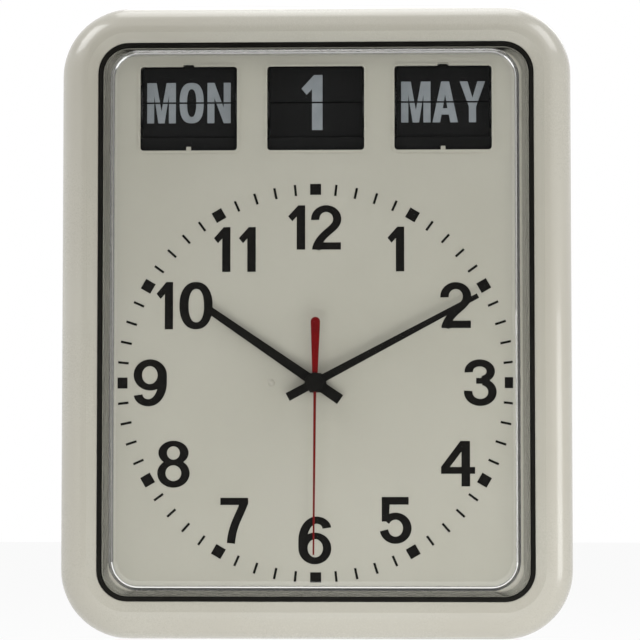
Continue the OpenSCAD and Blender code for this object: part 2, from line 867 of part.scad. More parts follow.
module second_wheel() {
    color(nylon) {
        train_gear(4, [0, 0], second_teeth, second_module, second_phase);
        train_gear(3, [0, 0], second_pinion_teeth, third_module, second_phase);
    }
    color(steel) {
        bar([0, 0], second_arbor_r, layer(4) - wheel_t - 0.3, second_hand_back + second_hand_t);
        bar([0, 0], pivot_r, box_floor + 0.6, layer(4) - wheel_t - 0.3);
    }
}

// An arbor between the movement's plates, thicker between its end pivots
module arbor(p) {
    bar(p, pivot_r, box_floor + 0.6, base_back + 0.8);
    bar(p, pivot_r + 0.3, box_floor + 2.1, base_back - 0.3);
}

module third_wheel() {
    color(nylon) {
        train_gear(3, third_at, third_teeth, third_module, third_phase);
        train_gear(2, third_at, third_pinion_teeth, minute_module, third_phase);
    }
    color(steel) arbor(third_at);
}

module motion_wheel() {
    bore = stud_r + run_fit;
    color(nylon) {
        train_gear(1, motion_at, motion_teeth, motion_module, motion_phase, bore);
        train_gear(0, motion_at, motion_pinion_teeth, hour_module, motion_phase, bore);
        translate([motion_at[0], 0, motion_at[1]]) tube(1.3, bore, layer(1), layer(0));
    }
}

module intermediate_wheel() {
    color(nylon) {
        train_gear(5, inter_at, inter_teeth, rotor_module, inter_phase);
        train_gear(4, inter_at, inter_pinion_teeth, second_module, inter_phase);
    }
    color(steel) arbor(inter_at);
}

module rotor() {
    color(steel) {
        arbor(rotor_at);
        bar(rotor_at, rotor_r, stator_back - 0.2, stator_back + stator_t + 0.2);
    }
    color(nylon) train_gear(5, rotor_at, rotor_teeth, rotor_module, rotor_phase);
}

module stator() {
    color([0.55, 0.55, 0.56]) slab(stator_back, stator_back + stator_t) difference() {
        union() {
            translate(rotor_at) circle(6);
            translate([rotor_at[0] - 3, rotor_at[1]]) square([6, coil_z - rotor_at[1]]);
            translate([coil_x - 3, coil_z - 1.4]) square([rotor_at[0] + 3 - coil_x + 3, 2.8]);
            translate(stator_posts[0]) circle(1.6);
        }
        translate(rotor_at) circle(rotor_r + 0.4);
    }
}

module coil() {
    mid = stator_back + stator_t / 2;
    color([0.62, 0.30, 0.14]) difference() {
        shaft(mid, coil_z, coil_r, coil_x, coil_x + coil_len);
        slab(stator_back - 0.05, stator_back + stator_t + 0.05)
            translate([coil_x - 1, coil_z - 1.45]) square([coil_len + 2, 2.9]);
    }
}

module circuit_board() {
    color([0.16, 0.36, 0.20]) slab(board_front - 1.2, board_front)
        translate([-26, 18.6]) square([30, 9.4]);
    color(black) slab(board_front - 2.6, board_front - 1.2) translate([-12, 24.4]) circle(2.8);
}

module time_knob() {
    stem_r = second_arbor_r + 0.5;
    color(black) {
        slab(knob_back, knob_back + knob_len - 4) translate(knob_at) difference() {
            circle(knob_r);
            for (a = [0 : 20 : 340]) rotate(a) translate([knob_r + 0.5, 0]) circle(r = 0.9, $fn = 16);
        }
        bar(knob_at, 3.2, knob_back + knob_len - 4, knob_back + knob_len);
        bar(knob_at, stem_r, knob_back + knob_len, layer(1));
        bar(knob_at, pivot_r, layer(1), base_back + 0.8);
        train_gear(1, knob_at, cannon_teeth, motion_module, knob_phase);
    }
}

// Points of the frame's screws into the dial plate, in (x, height)
frame_screw_points = [
    for (x = [-plate_out_x + 14, -plate_in_x + 14, plate_in_x - 14, plate_out_x - 14]) [x, frame_top - 6]
];

// One side plate of the calendar frame, in (depth, height)
module side_plate_shape(tall) {
    difference() {
        union() {
            translate([frame_back, frame_bottom])
                square([dial_back - frame_back, frame_top - frame_bottom]);
            if (tall) translate([reduction_depth - 5, lay_z - 5])
                square([frame_back - reduction_depth + 6, frame_top + 8 - lay_z + 5]);
        }
        translate([axle_depth + 8, split_z + 3]) square([6, lay_rise - 12]);
        translate([axle_depth + 8, frame_bottom + 8]) square([6, split_z - frame_bottom - 14]);
    }
}

module calendar_frame() {
    color(steel) difference() {
        union() {
            for (x = [-plate_out_x, -plate_in_x, plate_in_x, plate_out_x])
                across(x - plate_t / 2, x + plate_t / 2) side_plate_shape(x == -plate_in_x);
            translate([0, 0, frame_top]) slab(frame_back + 4, dial_back)
                translate([-plate_out_x - plate_t / 2, -frame_lip_t])
                square([2 * plate_out_x + plate_t, frame_lip_t]);
            for (p = frame_screw_points)
                slab(dial_back - frame_lip_t, dial_back) translate([p[0] - 4.5, p[1] - 5]) square([9, 11]);
            slab(dial_back - frame_lip_t, dial_back)
                translate([-plate_out_x - plate_t / 2, frame_bottom])
                square([2 * plate_out_x + plate_t, 4.6]);
            shaft(reduction_depth, lay_z, 1, -plate_in_x, input_x + drum_gear_t + 1);
        }
        shaft(axle_depth, split_z, axle_r + press_gap, -plate_out_x - 5, plate_out_x + 5);
        shaft(axle_depth, lay_z, lay_r + run_fit, -plate_out_x - 5, plate_in_x - 5);
        shaft(axle_depth, lay_z, lay_r + run_fit, plate_in_x + 5, plate_out_x + 5);
        shaft(axle_depth, lay_z, sleeve_r + run_fit, plate_in_x - 5, plate_in_x + 5);
        shaft(reduction_depth, motor_z, 3.4, -plate_in_x - 3, -plate_in_x + 3);
        for (p = frame_screw_points) bar(p, fastener_r + part_gap, dial_back - 5, dial_back + 1);
    }
}

module frame_screws() {
    color(steel) for (p = frame_screw_points)
        translate([p[0], 0, p[1]]) screw(dial_back - frame_lip_t - head_t + part_gap, frame_screw_len);
}

// Black strip that closes the windows below the hanging leaves
module leaf_mask() {
    top = split_z - leaf_top - free_gap;
    color(leaf_colour) slab(dial_back - frame_lip_t - mask_t, dial_back - frame_lip_t)
        translate([-plate_out_x + plate_t / 2 + 0.3, frame_bottom])
        difference() {
            square([2 * plate_out_x - plate_t - 0.6, top - frame_bottom]);
            for (x = [-plate_in_x, plate_in_x])
                translate([x + plate_out_x - plate_t / 2 - 0.3, 0])
                    square([plate_t + 0.6, 2 * (top - frame_bottom) + 1], center = true);
        }
}

// Spring fingers over the tips of the standing leaves, one for each window
module leaf_fingers() {
    tip_z = split_z + leaf_top + 0.3;
    finger_w = 5;
    strip_t = 0.4;
    foot = 4;
    top = frame_top - frame_lip_t;
    depth = axle_depth + pin_circle;
    color(steel) for (i = [-1 : 1])
        across(i * window_pitch - finger_w / 2, i * window_pitch + finger_w / 2) polygon([
            [depth - foot, top], [depth, top], [depth, tip_z], [depth - strip_t, tip_z],
            [depth - strip_t, top - strip_t], [depth - foot, top - strip_t]
        ]);
}

module drum_axle() {
    end_x = plate_out_x + plate_t / 2 + 2;
    color(steel) {
        shaft(axle_depth, split_z, axle_r, -end_x, end_x);
        for (s = [-1, 1])
            shaft(axle_depth, split_z, axle_r + 1.4, s * (end_x - 0.6) - 0.6, s * (end_x - 0.6) + 0.6);
    }
}

// Angle from one leaf to the next of n, and the front pins' height above or below the split
function leaf_step(n) = 360 / n;
function pin_rise(n) = pin_circle * sin(leaf_step(n) / 2);

// A leaf from its pins, standing straight up from the origin, in (depth, height)
module leaf_shape(n) {
    tail = pin_rise(n) - split_gap / 2;
    translate([-leaf_t / 2, -tail]) square([leaf_t, leaf_top - pin_rise(n) + tail]);
}

// Leaf k of n at its place on the drum centred at x
module leaf(x, n, k) {
    step = leaf_step(n);
    phi = step / 2 + k * step;
    turn = phi <= 180 ? k * step : 180;
    p = [axle_depth + pin_circle * cos(phi), split_z + pin_circle * sin(phi)];
    across(x - leaf_w / 2, x + leaf_w / 2) translate(p) rotate(turn) leaf_shape(n);
    for (s = [-1, 1])
        shaft(p[0], p[1], leaf_pin, x + s * (leaf_w + pin_len) / 2 - pin_len / 2,
              x + s * (leaf_w + pin_len) / 2 + pin_len / 2);
}

// The hanging and waiting leaves of one unit
module leaf_pack(x, n) {
    color(leaf_colour) for (k = [1 : n - 1]) leaf(x, n, k);
}

// Two pin discs on a hollow hub
module drum(x, n) {
    difference() {
        union() {
            for (s = [-1, 1])
                translate([x + s * (disc_in + disc_t / 2), 0, 0]) across(-disc_t / 2, disc_t / 2)
                    translate([axle_depth, split_z]) circle(disc_r);
            shaft(axle_depth, split_z, 5, x - disc_in, x + disc_in);
            children();
        }
        shaft(axle_depth, split_z, axle_r + run_fit, x - 60, x + 60);
        for (k = [0 : n - 1]) {
            phi = leaf_step(n) * (k + 0.5);
            shaft(axle_depth + pin_circle * cos(phi), split_z + pin_circle * sin(phi), leaf_pin + 0.08,
                  x - disc_out - 0.1, x + disc_out + 0.1);
        }
    }
}

// A gear across the clock at depth d and height z
module cross_gear(x0, d, z, n, m, phase, t = drum_gear_t) {
    across(x0, x0 + t) translate([d, z]) gear_shape(n, m, phase);
}

// Module of a drum gear of n teeth against the lay shaft's gear
function drum_module(n) = 2 * lay_rise / (n + lay_teeth);

lay_phase = 0;

module day_drum() {
    color(nylon) drum(-window_pitch, day_leaves_n) {
        cross_gear(day_gear_x, axle_depth, split_z, day_teeth, drum_module(day_teeth),
                   mesh_phase(lay_teeth, lay_phase, day_teeth, -90));
        shaft(axle_depth, split_z, 5, day_gear_x, -window_pitch);
    }
}

module day_leaves() {
    leaf_pack(-window_pitch, day_leaves_n);
}

module day_leaf() {
    color(leaf_colour) leaf(-window_pitch, day_leaves_n, 0);
}

module date_drum() {
    tooth_w = 1.4;
    color(nylon) drum(0, date_leaves_n) {
        cross_gear(date_gear_x, axle_depth, split_z, date_teeth, drum_module(date_teeth),
                   mesh_phase(lay_teeth, lay_phase, date_teeth, -90));
        shaft(axle_depth, split_z, 5, 0, carry_x + carry_t);
        across(carry_x, carry_x + carry_t) translate([axle_depth, split_z]) {
            circle(12);
            for (a = [-70, -78]) rotate(a) translate([0, -tooth_w / 2]) square([14, tooth_w]);
        }
    }
}

module date_leaves() {
    leaf_pack(0, date_leaves_n);
}

module date_leaf() {
    color(leaf_colour) leaf(0, date_leaves_n, 0);
}

transfer_phase = 0;

module month_drum() {
    color(nylon) drum(window_pitch, month_leaves_n) {
        cross_gear(month_gear_x, axle_depth, split_z, month_teeth, drum_module(month_teeth),
                   mesh_phase(lay_teeth, transfer_phase, month_teeth, -90));
        shaft(axle_depth, split_z, 5, month_gear_x, window_pitch);
    }
}

module month_leaves() {
    leaf_pack(window_pitch, month_leaves_n);
}

module month_leaf() {
    color(leaf_colour) leaf(window_pitch, month_leaves_n, 0);
}

// Shaft above the drums with the gears that turn the day and date units
module lay_shaft() {
    end_x = plate_out_x + plate_t / 2 + 1;
    input_phase = 0;
    color(steel) shaft(axle_depth, lay_z, lay_r, -end_x, end_x);
    color(nylon) {
        cross_gear(day_gear_x, axle_depth, lay_z, lay_teeth, drum_module(day_teeth), lay_phase);
        cross_gear(date_gear_x, axle_depth, lay_z, lay_teeth, drum_module(date_teeth), lay_phase);
        cross_gear(input_x, axle_depth, lay_z, input_teeth, drive_module, input_phase);
        for (x = [day_gear_x + drum_gear_t, date_gear_x - 3, input_x + drum_gear_t])
            shaft(axle_depth, lay_z, 3.4, x, x + 3);
    }
}

// Loose wheel on the lay shaft that carries a new month over from the date drum
module transfer_wheel() {
    star_r = lay_rise - 14.6;
    color(nylon) difference() {
        union() {
            cross_gear(month_gear_x, axle_depth, lay_z, lay_teeth, drum_module(month_teeth),
                       transfer_phase);
            shaft(axle_depth, lay_z, sleeve_r, carry_x, month_gear_x + drum_gear_t);
            across(carry_x, carry_x + carry_t) translate([axle_depth, lay_z]) {
                circle(star_r - 2.5);
                for (a = [0 : 15 : 345]) rotate(a) translate([0, -0.7]) square([star_r, 1.4]);
            }
        }
        shaft(axle_depth, lay_z, lay_r + run_fit, carry_x - 1, plate_out_x);
    }
}

reduction_phase = mesh_phase(input_teeth, 0, reduction_pinion_teeth, 180);

module reduction_gear() {
    color(nylon) difference() {
        union() {
            cross_gear(wheel_x, reduction_depth, lay_z, reduction_wheel_teeth, drive_module,
                       reduction_phase);
            cross_gear(wheel_x, reduction_depth, lay_z, reduction_pinion_teeth, drive_module,
                       reduction_phase, input_x + drum_gear_t - wheel_x);
        }
        shaft(reduction_depth, lay_z, 1 + run_fit, wheel_x - 1, input_x + drum_gear_t + 1);
    }
}

module motor_pinion() {
    phase = mesh_phase(reduction_wheel_teeth, reduction_phase, motor_teeth, 90);
    color(brass) cross_gear(wheel_x, reduction_depth, motor_z, motor_teeth, drive_module, phase);
    color(steel) shaft(reduction_depth, motor_z, 1, -plate_in_x - plate_t / 2 - 6, wheel_x);
}

module calendar_motor() {
    face_x = -plate_in_x - plate_t / 2;
    color(steel) difference() {
        union() {
            shaft(reduction_depth, motor_z, motor_d / 2, face_x - motor_len, face_x);
            shaft(reduction_depth, motor_z, 4, face_x - motor_len - 2, face_x - motor_len);
        }
        shaft(reduction_depth, motor_z, 1 + run_fit, face_x - 7, face_x + 1);
    }
}

// A setting button in the rear cover, with a collar inside
module set_button(x) {
    color(black) {
        bar([x, button_z], button_r, 0.6, button_len);
        bar([x, button_z], button_r + 0.8, collar_back + part_gap, collar_back + 1.5);
    }
}

module day_button() {
    set_button(button_xs[0]);
}

module date_button() {
    set_button(button_xs[1]);
}

module month_button() {
    set_button(button_xs[2]);
}

front_case();
rear_cover();
rear_screws();
hanger_plate();
lens();
lens_gasket();
dial_plate();
dial_markers();
dial_pin();
dial_screws();
battery_door();
battery_cells();
cell_contacts();
movement_base();
movement_cover();
centre_bush();
dial_nut();
hour_hand();
minute_hand();
second_hand();
hub_cap();
hour_wheel();
minute_wheel();
second_wheel();
third_wheel();
motion_wheel();
intermediate_wheel();
rotor();
stator();
coil();
circuit_board();
time_knob();
calendar_frame();
frame_screws();
leaf_mask();
leaf_fingers();
drum_axle();
day_drum();
day_leaves();
day_leaf();
date_drum();
date_leaves();
date_leaf();
month_drum();
month_leaves();
month_leaf();
lay_shaft();
transfer_wheel();
reduction_gear();
motor_pinion();
calendar_motor();
day_button();
date_button();
month_button();
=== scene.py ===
"""Looks of a wall clock with a split-flap calendar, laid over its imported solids.

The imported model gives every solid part. This script dresses those parts in
moulded plastic, paint, rubber, nylon and metal, and adds what a solid model
leaves out: the smooth clear lens, the printed numerals and the words and
numbers on the calendar's leaves.
"""

from __future__ import annotations

import json
import logging
import math
from collections.abc import Iterator, Sequence
from contextlib import contextmanager
from dataclasses import dataclass, field
from enum import Enum

import bpy
from mathutils import Matrix, Vector
from mathutils.geometry import delaunay_2d_cdt

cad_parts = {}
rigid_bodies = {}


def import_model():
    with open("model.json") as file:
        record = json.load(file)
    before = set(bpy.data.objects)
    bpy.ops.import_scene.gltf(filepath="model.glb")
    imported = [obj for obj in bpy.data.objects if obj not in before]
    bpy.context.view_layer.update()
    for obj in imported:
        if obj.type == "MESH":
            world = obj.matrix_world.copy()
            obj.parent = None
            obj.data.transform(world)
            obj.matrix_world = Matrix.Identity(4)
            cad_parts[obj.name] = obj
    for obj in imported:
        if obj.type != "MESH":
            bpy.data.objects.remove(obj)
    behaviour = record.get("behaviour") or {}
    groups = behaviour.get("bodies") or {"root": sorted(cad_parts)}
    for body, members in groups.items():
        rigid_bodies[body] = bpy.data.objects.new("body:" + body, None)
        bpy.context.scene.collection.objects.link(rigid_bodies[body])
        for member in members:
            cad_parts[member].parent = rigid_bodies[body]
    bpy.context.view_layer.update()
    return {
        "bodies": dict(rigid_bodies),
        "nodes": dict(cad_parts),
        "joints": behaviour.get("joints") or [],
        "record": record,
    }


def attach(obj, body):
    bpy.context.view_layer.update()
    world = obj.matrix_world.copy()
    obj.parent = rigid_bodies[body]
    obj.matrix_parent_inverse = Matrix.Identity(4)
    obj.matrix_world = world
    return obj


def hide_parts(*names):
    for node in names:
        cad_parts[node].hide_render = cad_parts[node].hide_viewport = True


MM = 0.001
PRINT_WELD = 0.001  # farthest apart that merged points of a print stand, in millimetres
OWN_LOOKS = {"dial_pin": "case_plastic", "dial_nut": "black_paint"}  # nodes that look unlike their slot
LOG = logging.getLogger("clock")

Colour = tuple[float, float, float]
Point = tuple[float, float]


def linear(red: int, green: int, blue: int) -> Colour:
    """Turns an 8-bit screen colour into the linear light that shaders use.

    Args:
        red: Red from 0 to 255.
        green: Green from 0 to 255.
        blue: Blue from 0 to 255.

    Returns:
        The three channels as linear light.
    """

    def channel(value: int) -> float:
        """Returns one channel as linear light."""
        share = value / 255
        return share / 12.92 if share <= 0.04045 else ((share + 0.055) / 1.055) ** 2.4

    return channel(red), channel(green), channel(blue)


def place(x: float, z: float, depth: float) -> Vector:
    """Returns the point x to the right, z up and depth out from the wall, all in millimetres."""
    return Vector((x, -depth, z)) * MM


class Body(Enum):
    """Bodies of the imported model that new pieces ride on."""

    CLOCK = "clock"
    DAY_DRUM = "day_drum"
    DAY_LEAF = "day_leaf"
    DATE_DRUM = "date_drum"
    DATE_LEAF = "date_leaf"
    MONTH_DRUM = "month_drum"
    MONTH_LEAF = "month_leaf"


class Wire:
    """A shader socket on which sums and products add Math nodes."""

    def __init__(self, graph: "Graph", socket: bpy.types.NodeSocket) -> None:
        """Wraps an output socket of the graph."""
        self.graph = graph
        self.socket = socket

    def _maths(self, operation: str, left: "Wire | float", right: "Wire | float") -> "Wire":
        """Adds a Math node that works on two values."""
        return self.graph.add("ShaderNodeMath", {"operation": operation}, {0: left, 1: right})

    def __add__(self, other: "Wire | float") -> "Wire":
        """Returns self + other."""
        return self._maths("ADD", self, other)

    def __radd__(self, other: float) -> "Wire":
        """Returns other + self."""
        return self._maths("ADD", other, self)

    def __mul__(self, other: "Wire | float") -> "Wire":
        """Returns self * other."""
        return self._maths("MULTIPLY", self, other)

    def __rmul__(self, other: float) -> "Wire":
        """Returns other * self."""
        return self._maths("MULTIPLY", other, self)

    def larger(self, other: "Wire | float") -> "Wire":
        """Returns the larger of self and other."""
        return self._maths("MAXIMUM", self, other)


class Graph:
    """The node tree of one material or world, built a node at a time."""

    def __init__(self, tree: bpy.types.NodeTree) -> None:
        """Empties the tree."""
        self.tree = tree
        tree.nodes.clear()

    def node(self, kind: str, settings: dict | None = None, inputs: dict | None = None) -> bpy.types.Node:
        """Adds a node.

        Args:
            kind: Type name of the node.
            settings: Properties of the node, set before its inputs.
            inputs: Values or wires, by the input's name or number.

        Returns:
            The new node.
        """
        made = self.tree.nodes.new(kind)
        for name, value in (settings or {}).items():
            setattr(made, name, value)
        for name, value in (inputs or {}).items():
            if isinstance(value, Wire):
                self.tree.links.new(value.socket, made.inputs[name])
            else:
                made.inputs[name].default_value = value
        return made

    def add(self, kind: str, settings: dict | None = None, inputs: dict | None = None,
            output: str | int = 0) -> Wire:
        """Adds a node and returns the wire of one output.

        Args:
            kind: Type name of the node.
            settings: Properties of the node, set before its inputs.
            inputs: Values or wires, by the input's name or number.
            output: Name or number of the output that is wanted.

        Returns:
            The wire of that output.
        """
        return Wire(self, self.node(kind, settings, inputs).outputs[output])

    def where(self) -> Wire:
        """Returns the piece's own coordinates, in metres."""
        return self.add("ShaderNodeTexCoord", output="Object")

    def noise(self, scale: float, detail: float = 2.0, stretch: Colour = (1, 1, 1)) -> Wire:
        """Adds a noise from 0 to 1.

        Args:
            scale: Cells to a metre.
            detail: Number of finer layers.
            stretch: Scale along each axis, for brushed or streaky looks.

        Returns:
            The noise value.
        """
        spot = self.add("ShaderNodeMapping", None, {"Vector": self.where(), "Scale": stretch})
        return self.add("ShaderNodeTexNoise", None, {"Vector": spot, "Scale": scale, "Detail": detail}, "Fac")

    def spread(self, value: Wire, low: float, high: float, to_low: float, to_high: float) -> Wire:
        """Maps a value from low..high to to_low..to_high, held at the ends."""
        return self.add("ShaderNodeMapRange", {"clamp": True},
                        {"Value": value, "From Min": low, "From Max": high,
                         "To Min": to_low, "To Max": to_high}, "Result")

    def blend(self, share: Wire, first: "Wire | Colour", second: "Wire | Colour") -> Wire:
        """Mixes two colours.

        Args:
            share: Share of the second colour, from 0 to 1.
            first: Colour at 0.
            second: Colour at 1.

        Returns:
            The mixed colour.
        """

        def as_colour(value: "Wire | Colour") -> "Wire | tuple":
            """Gives a plain colour its alpha."""
            return value if isinstance(value, Wire) else (*value, 1)

        return self.add("ShaderNodeMix", {"data_type": "RGBA"},
                        {0: share, 6: as_colour(first), 7: as_colour(second)}, 2)

    def bump(self, height: Wire, distance: float, strength: float = 1.0) -> Wire:
        """Turns a height from 0 to 1 into a normal; distance is the height of 1 in metres."""
        return self.add("ShaderNodeBump", None,
                        {"Height": height, "Distance": distance, "Strength": strength}, "Normal")

    def finish(self, shader: bpy.types.Node | Wire, kind: str = "ShaderNodeOutputMaterial") -> None:
        """Joins a shader to the tree's output."""
        wire = shader if isinstance(shader, Wire) else Wire(self, shader.outputs[0])
        self.node(kind, None, {"Surface": wire})


def blank_material(name: str) -> tuple[bpy.types.Material, Graph]:
    """Adds a material with an empty node tree.

    Args:
        name: Name of the material.

    Returns:
        The material and its tree.
    """
    material = bpy.data.materials.new(name)
    material.use_nodes = True
    return material, Graph(material.node_tree)


@dataclass(frozen=True)
class Finish:
    """A plain opaque finish with fine variation in colour, gloss and surface.

    Attributes:
        name: Name of the material.
        colour: Base colour, linear.
        shade: The same colour where it is soiled or thin, linear.
        roughness: Mean roughness.
        metallic: 1 for bare metal.
        specular: Specular IOR level.
        coat: Weight of a clear coat.
        cloud: Cells to a metre of the broad colour variation.
        grain: Cells to a metre of the fine surface texture.
        grain_height: Height of the fine texture in metres.
        streak: Scale of the texture along each axis.
        cloud_levels: Levels of the broad noise that give colour and shade.
        fine_share: Share of the fine noise in the gloss.
        gloss_levels: Levels of both noises together at the smoothest and the roughest spot.
        gloss_range: Roughness of those two spots, as shares of the mean.
    """

    name: str
    colour: Colour
    shade: Colour
    roughness: float = 0.4
    metallic: float = 0.0
    specular: float = 0.5
    coat: float = 0.0
    cloud: float = 14.0
    grain: float = 1800.0
    grain_height: float = 0.00001
    streak: Colour = (1, 1, 1)
    cloud_levels: Point = (0.3, 0.75)
    fine_share: float = 0.5
    gloss_levels: Point = (0.5, 1.0)
    gloss_range: Point = (0.88, 1.15)

    def make(self) -> bpy.types.Material:
        """Builds the material.

        Returns:
            The new material.
        """
        material, graph = blank_material(self.name)
        self.wire(graph)
        return material

    def surface(self, graph: Graph) -> dict:
        """Works out the inputs of the Principled shader.

        Args:
            graph: Node tree of the material.

        Returns:
            Values and wires, by the input's name.
        """
        cloud = graph.noise(self.cloud, detail=3)
        fine = graph.noise(self.grain, detail=2, stretch=self.streak)
        smoothest, roughest = (self.roughness * share for share in self.gloss_range)
        return {
            "Base Color": graph.blend(graph.spread(cloud, *self.cloud_levels, 0, 1), self.colour, self.shade),
            "Roughness": graph.spread(cloud + fine * self.fine_share, *self.gloss_levels, smoothest,
                                      min(1.0, roughest)),
            "Metallic": self.metallic,
            "Specular IOR Level": self.specular,
            "Coat Weight": self.coat,
            "Normal": graph.bump(fine, self.grain_height),
        }

    def wire(self, graph: Graph) -> None:
        """Builds the shader."""
        graph.finish(graph.node("ShaderNodeBsdfPrincipled", None, self.surface(graph)))


@dataclass(frozen=True)
class ClearAcrylic(Finish):
    """Clear moulded acrylic that lets the lamps' light through to what lies behind it.

    The colour tints what is seen through it, and the shade tints the light that falls through.

    Attributes:
        ior: Index of refraction.
    """

    ior: float = 1.49

    def wire(self, graph: Graph) -> None:
        """Builds the shader.

        Args:
            graph: Node tree of the material.
        """
        clear = graph.node("ShaderNodeBsdfPrincipled", None, {
            "Base Color": (*self.colour, 1), "Roughness": self.roughness,
            "Transmission Weight": 1.0, "IOR": self.ior})
        through = graph.node("ShaderNodeBsdfTransparent", None, {"Color": (*self.shade, 1)})
        path = graph.node("ShaderNodeLightPath")
        soft = Wire(graph, path.outputs["Is Shadow Ray"]).larger(
            Wire(graph, path.outputs["Is Diffuse Ray"]))
        mixed = graph.node("ShaderNodeMixShader", None, {
            0: soft, 1: Wire(graph, clear.outputs[0]), 2: Wire(graph, through.outputs[0])})
        graph.finish(mixed)


def clock_finishes() -> dict[str, Finish]:
    """Returns the finish of each material slot."""
    cream, cream_low = linear(177, 174, 163), linear(170, 166, 154)
    return {
        "case_plastic": Finish("Cream_case_plastic", cream, cream_low, 0.28, cloud=7, coat=0.4),
        "dial_paint": Finish("Grey_cream_dial_paint", linear(178, 175, 164), linear(172, 169, 157),
                             0.55, cloud=9, grain=2600, specular=0.3),
        "lens_acrylic": ClearAcrylic("Clear_lens_acrylic", (0.985, 0.99, 0.985), (0.95, 0.955, 0.95), 0.02),
        "black_rubber": Finish("Black_gasket_rubber", linear(18, 17, 14), linear(25, 24, 21), 0.5,
                               specular=0.08, cloud=60),
        "black_paint": Finish("Black_hand_paint", linear(18, 17, 15), linear(22, 21, 19), 0.55,
                              specular=0.03, cloud=80),
        "red_paint": Finish("Red_hand_paint", linear(108, 8, 9), linear(94, 7, 8), 0.45,
                            specular=0.06, cloud=80),
        "leaf_plastic": Finish("Black_leaf_plastic", linear(20, 20, 20), linear(24, 24, 24), 0.6,
                               specular=0.05, cloud=50),
        "movement_plastic": Finish("Dark_movement_plastic", linear(48, 48, 51), linear(56, 56, 59), 0.45),
        "black_plastic": Finish("Black_button_plastic", linear(28, 28, 28), linear(34, 34, 34), 0.4),
        "white_nylon": Finish("White_gear_nylon", linear(226, 223, 212), linear(214, 210, 196), 0.45),
        "bright_steel": Finish("Plated_steel", linear(190, 190, 190), linear(172, 173, 175), 0.3,
                               metallic=1.0, streak=(1, 8, 1), cloud=60),
        "yellow_brass": Finish("Turned_brass", linear(205, 172, 98), linear(188, 152, 82), 0.3,
                               metallic=1.0, cloud=70),
        "copper_wire": Finish("Enamelled_copper_winding", linear(178, 92, 52), linear(150, 70, 38), 0.35,
                              metallic=0.8, streak=(8, 1, 1), cloud=90),
        "board_green": Finish("Green_board_lacquer", linear(30, 84, 48), linear(38, 98, 56), 0.3),
        "cell_jacket": Finish("Grey_cell_jacket", linear(84, 87, 92), linear(72, 75, 80), 0.3,
                              metallic=0.4, cloud=40),
        "leaf_print": Finish("Grey_leaf_print", linear(138, 143, 147), linear(128, 133, 137), 0.55,
                             specular=0.3, cloud=120),
    }


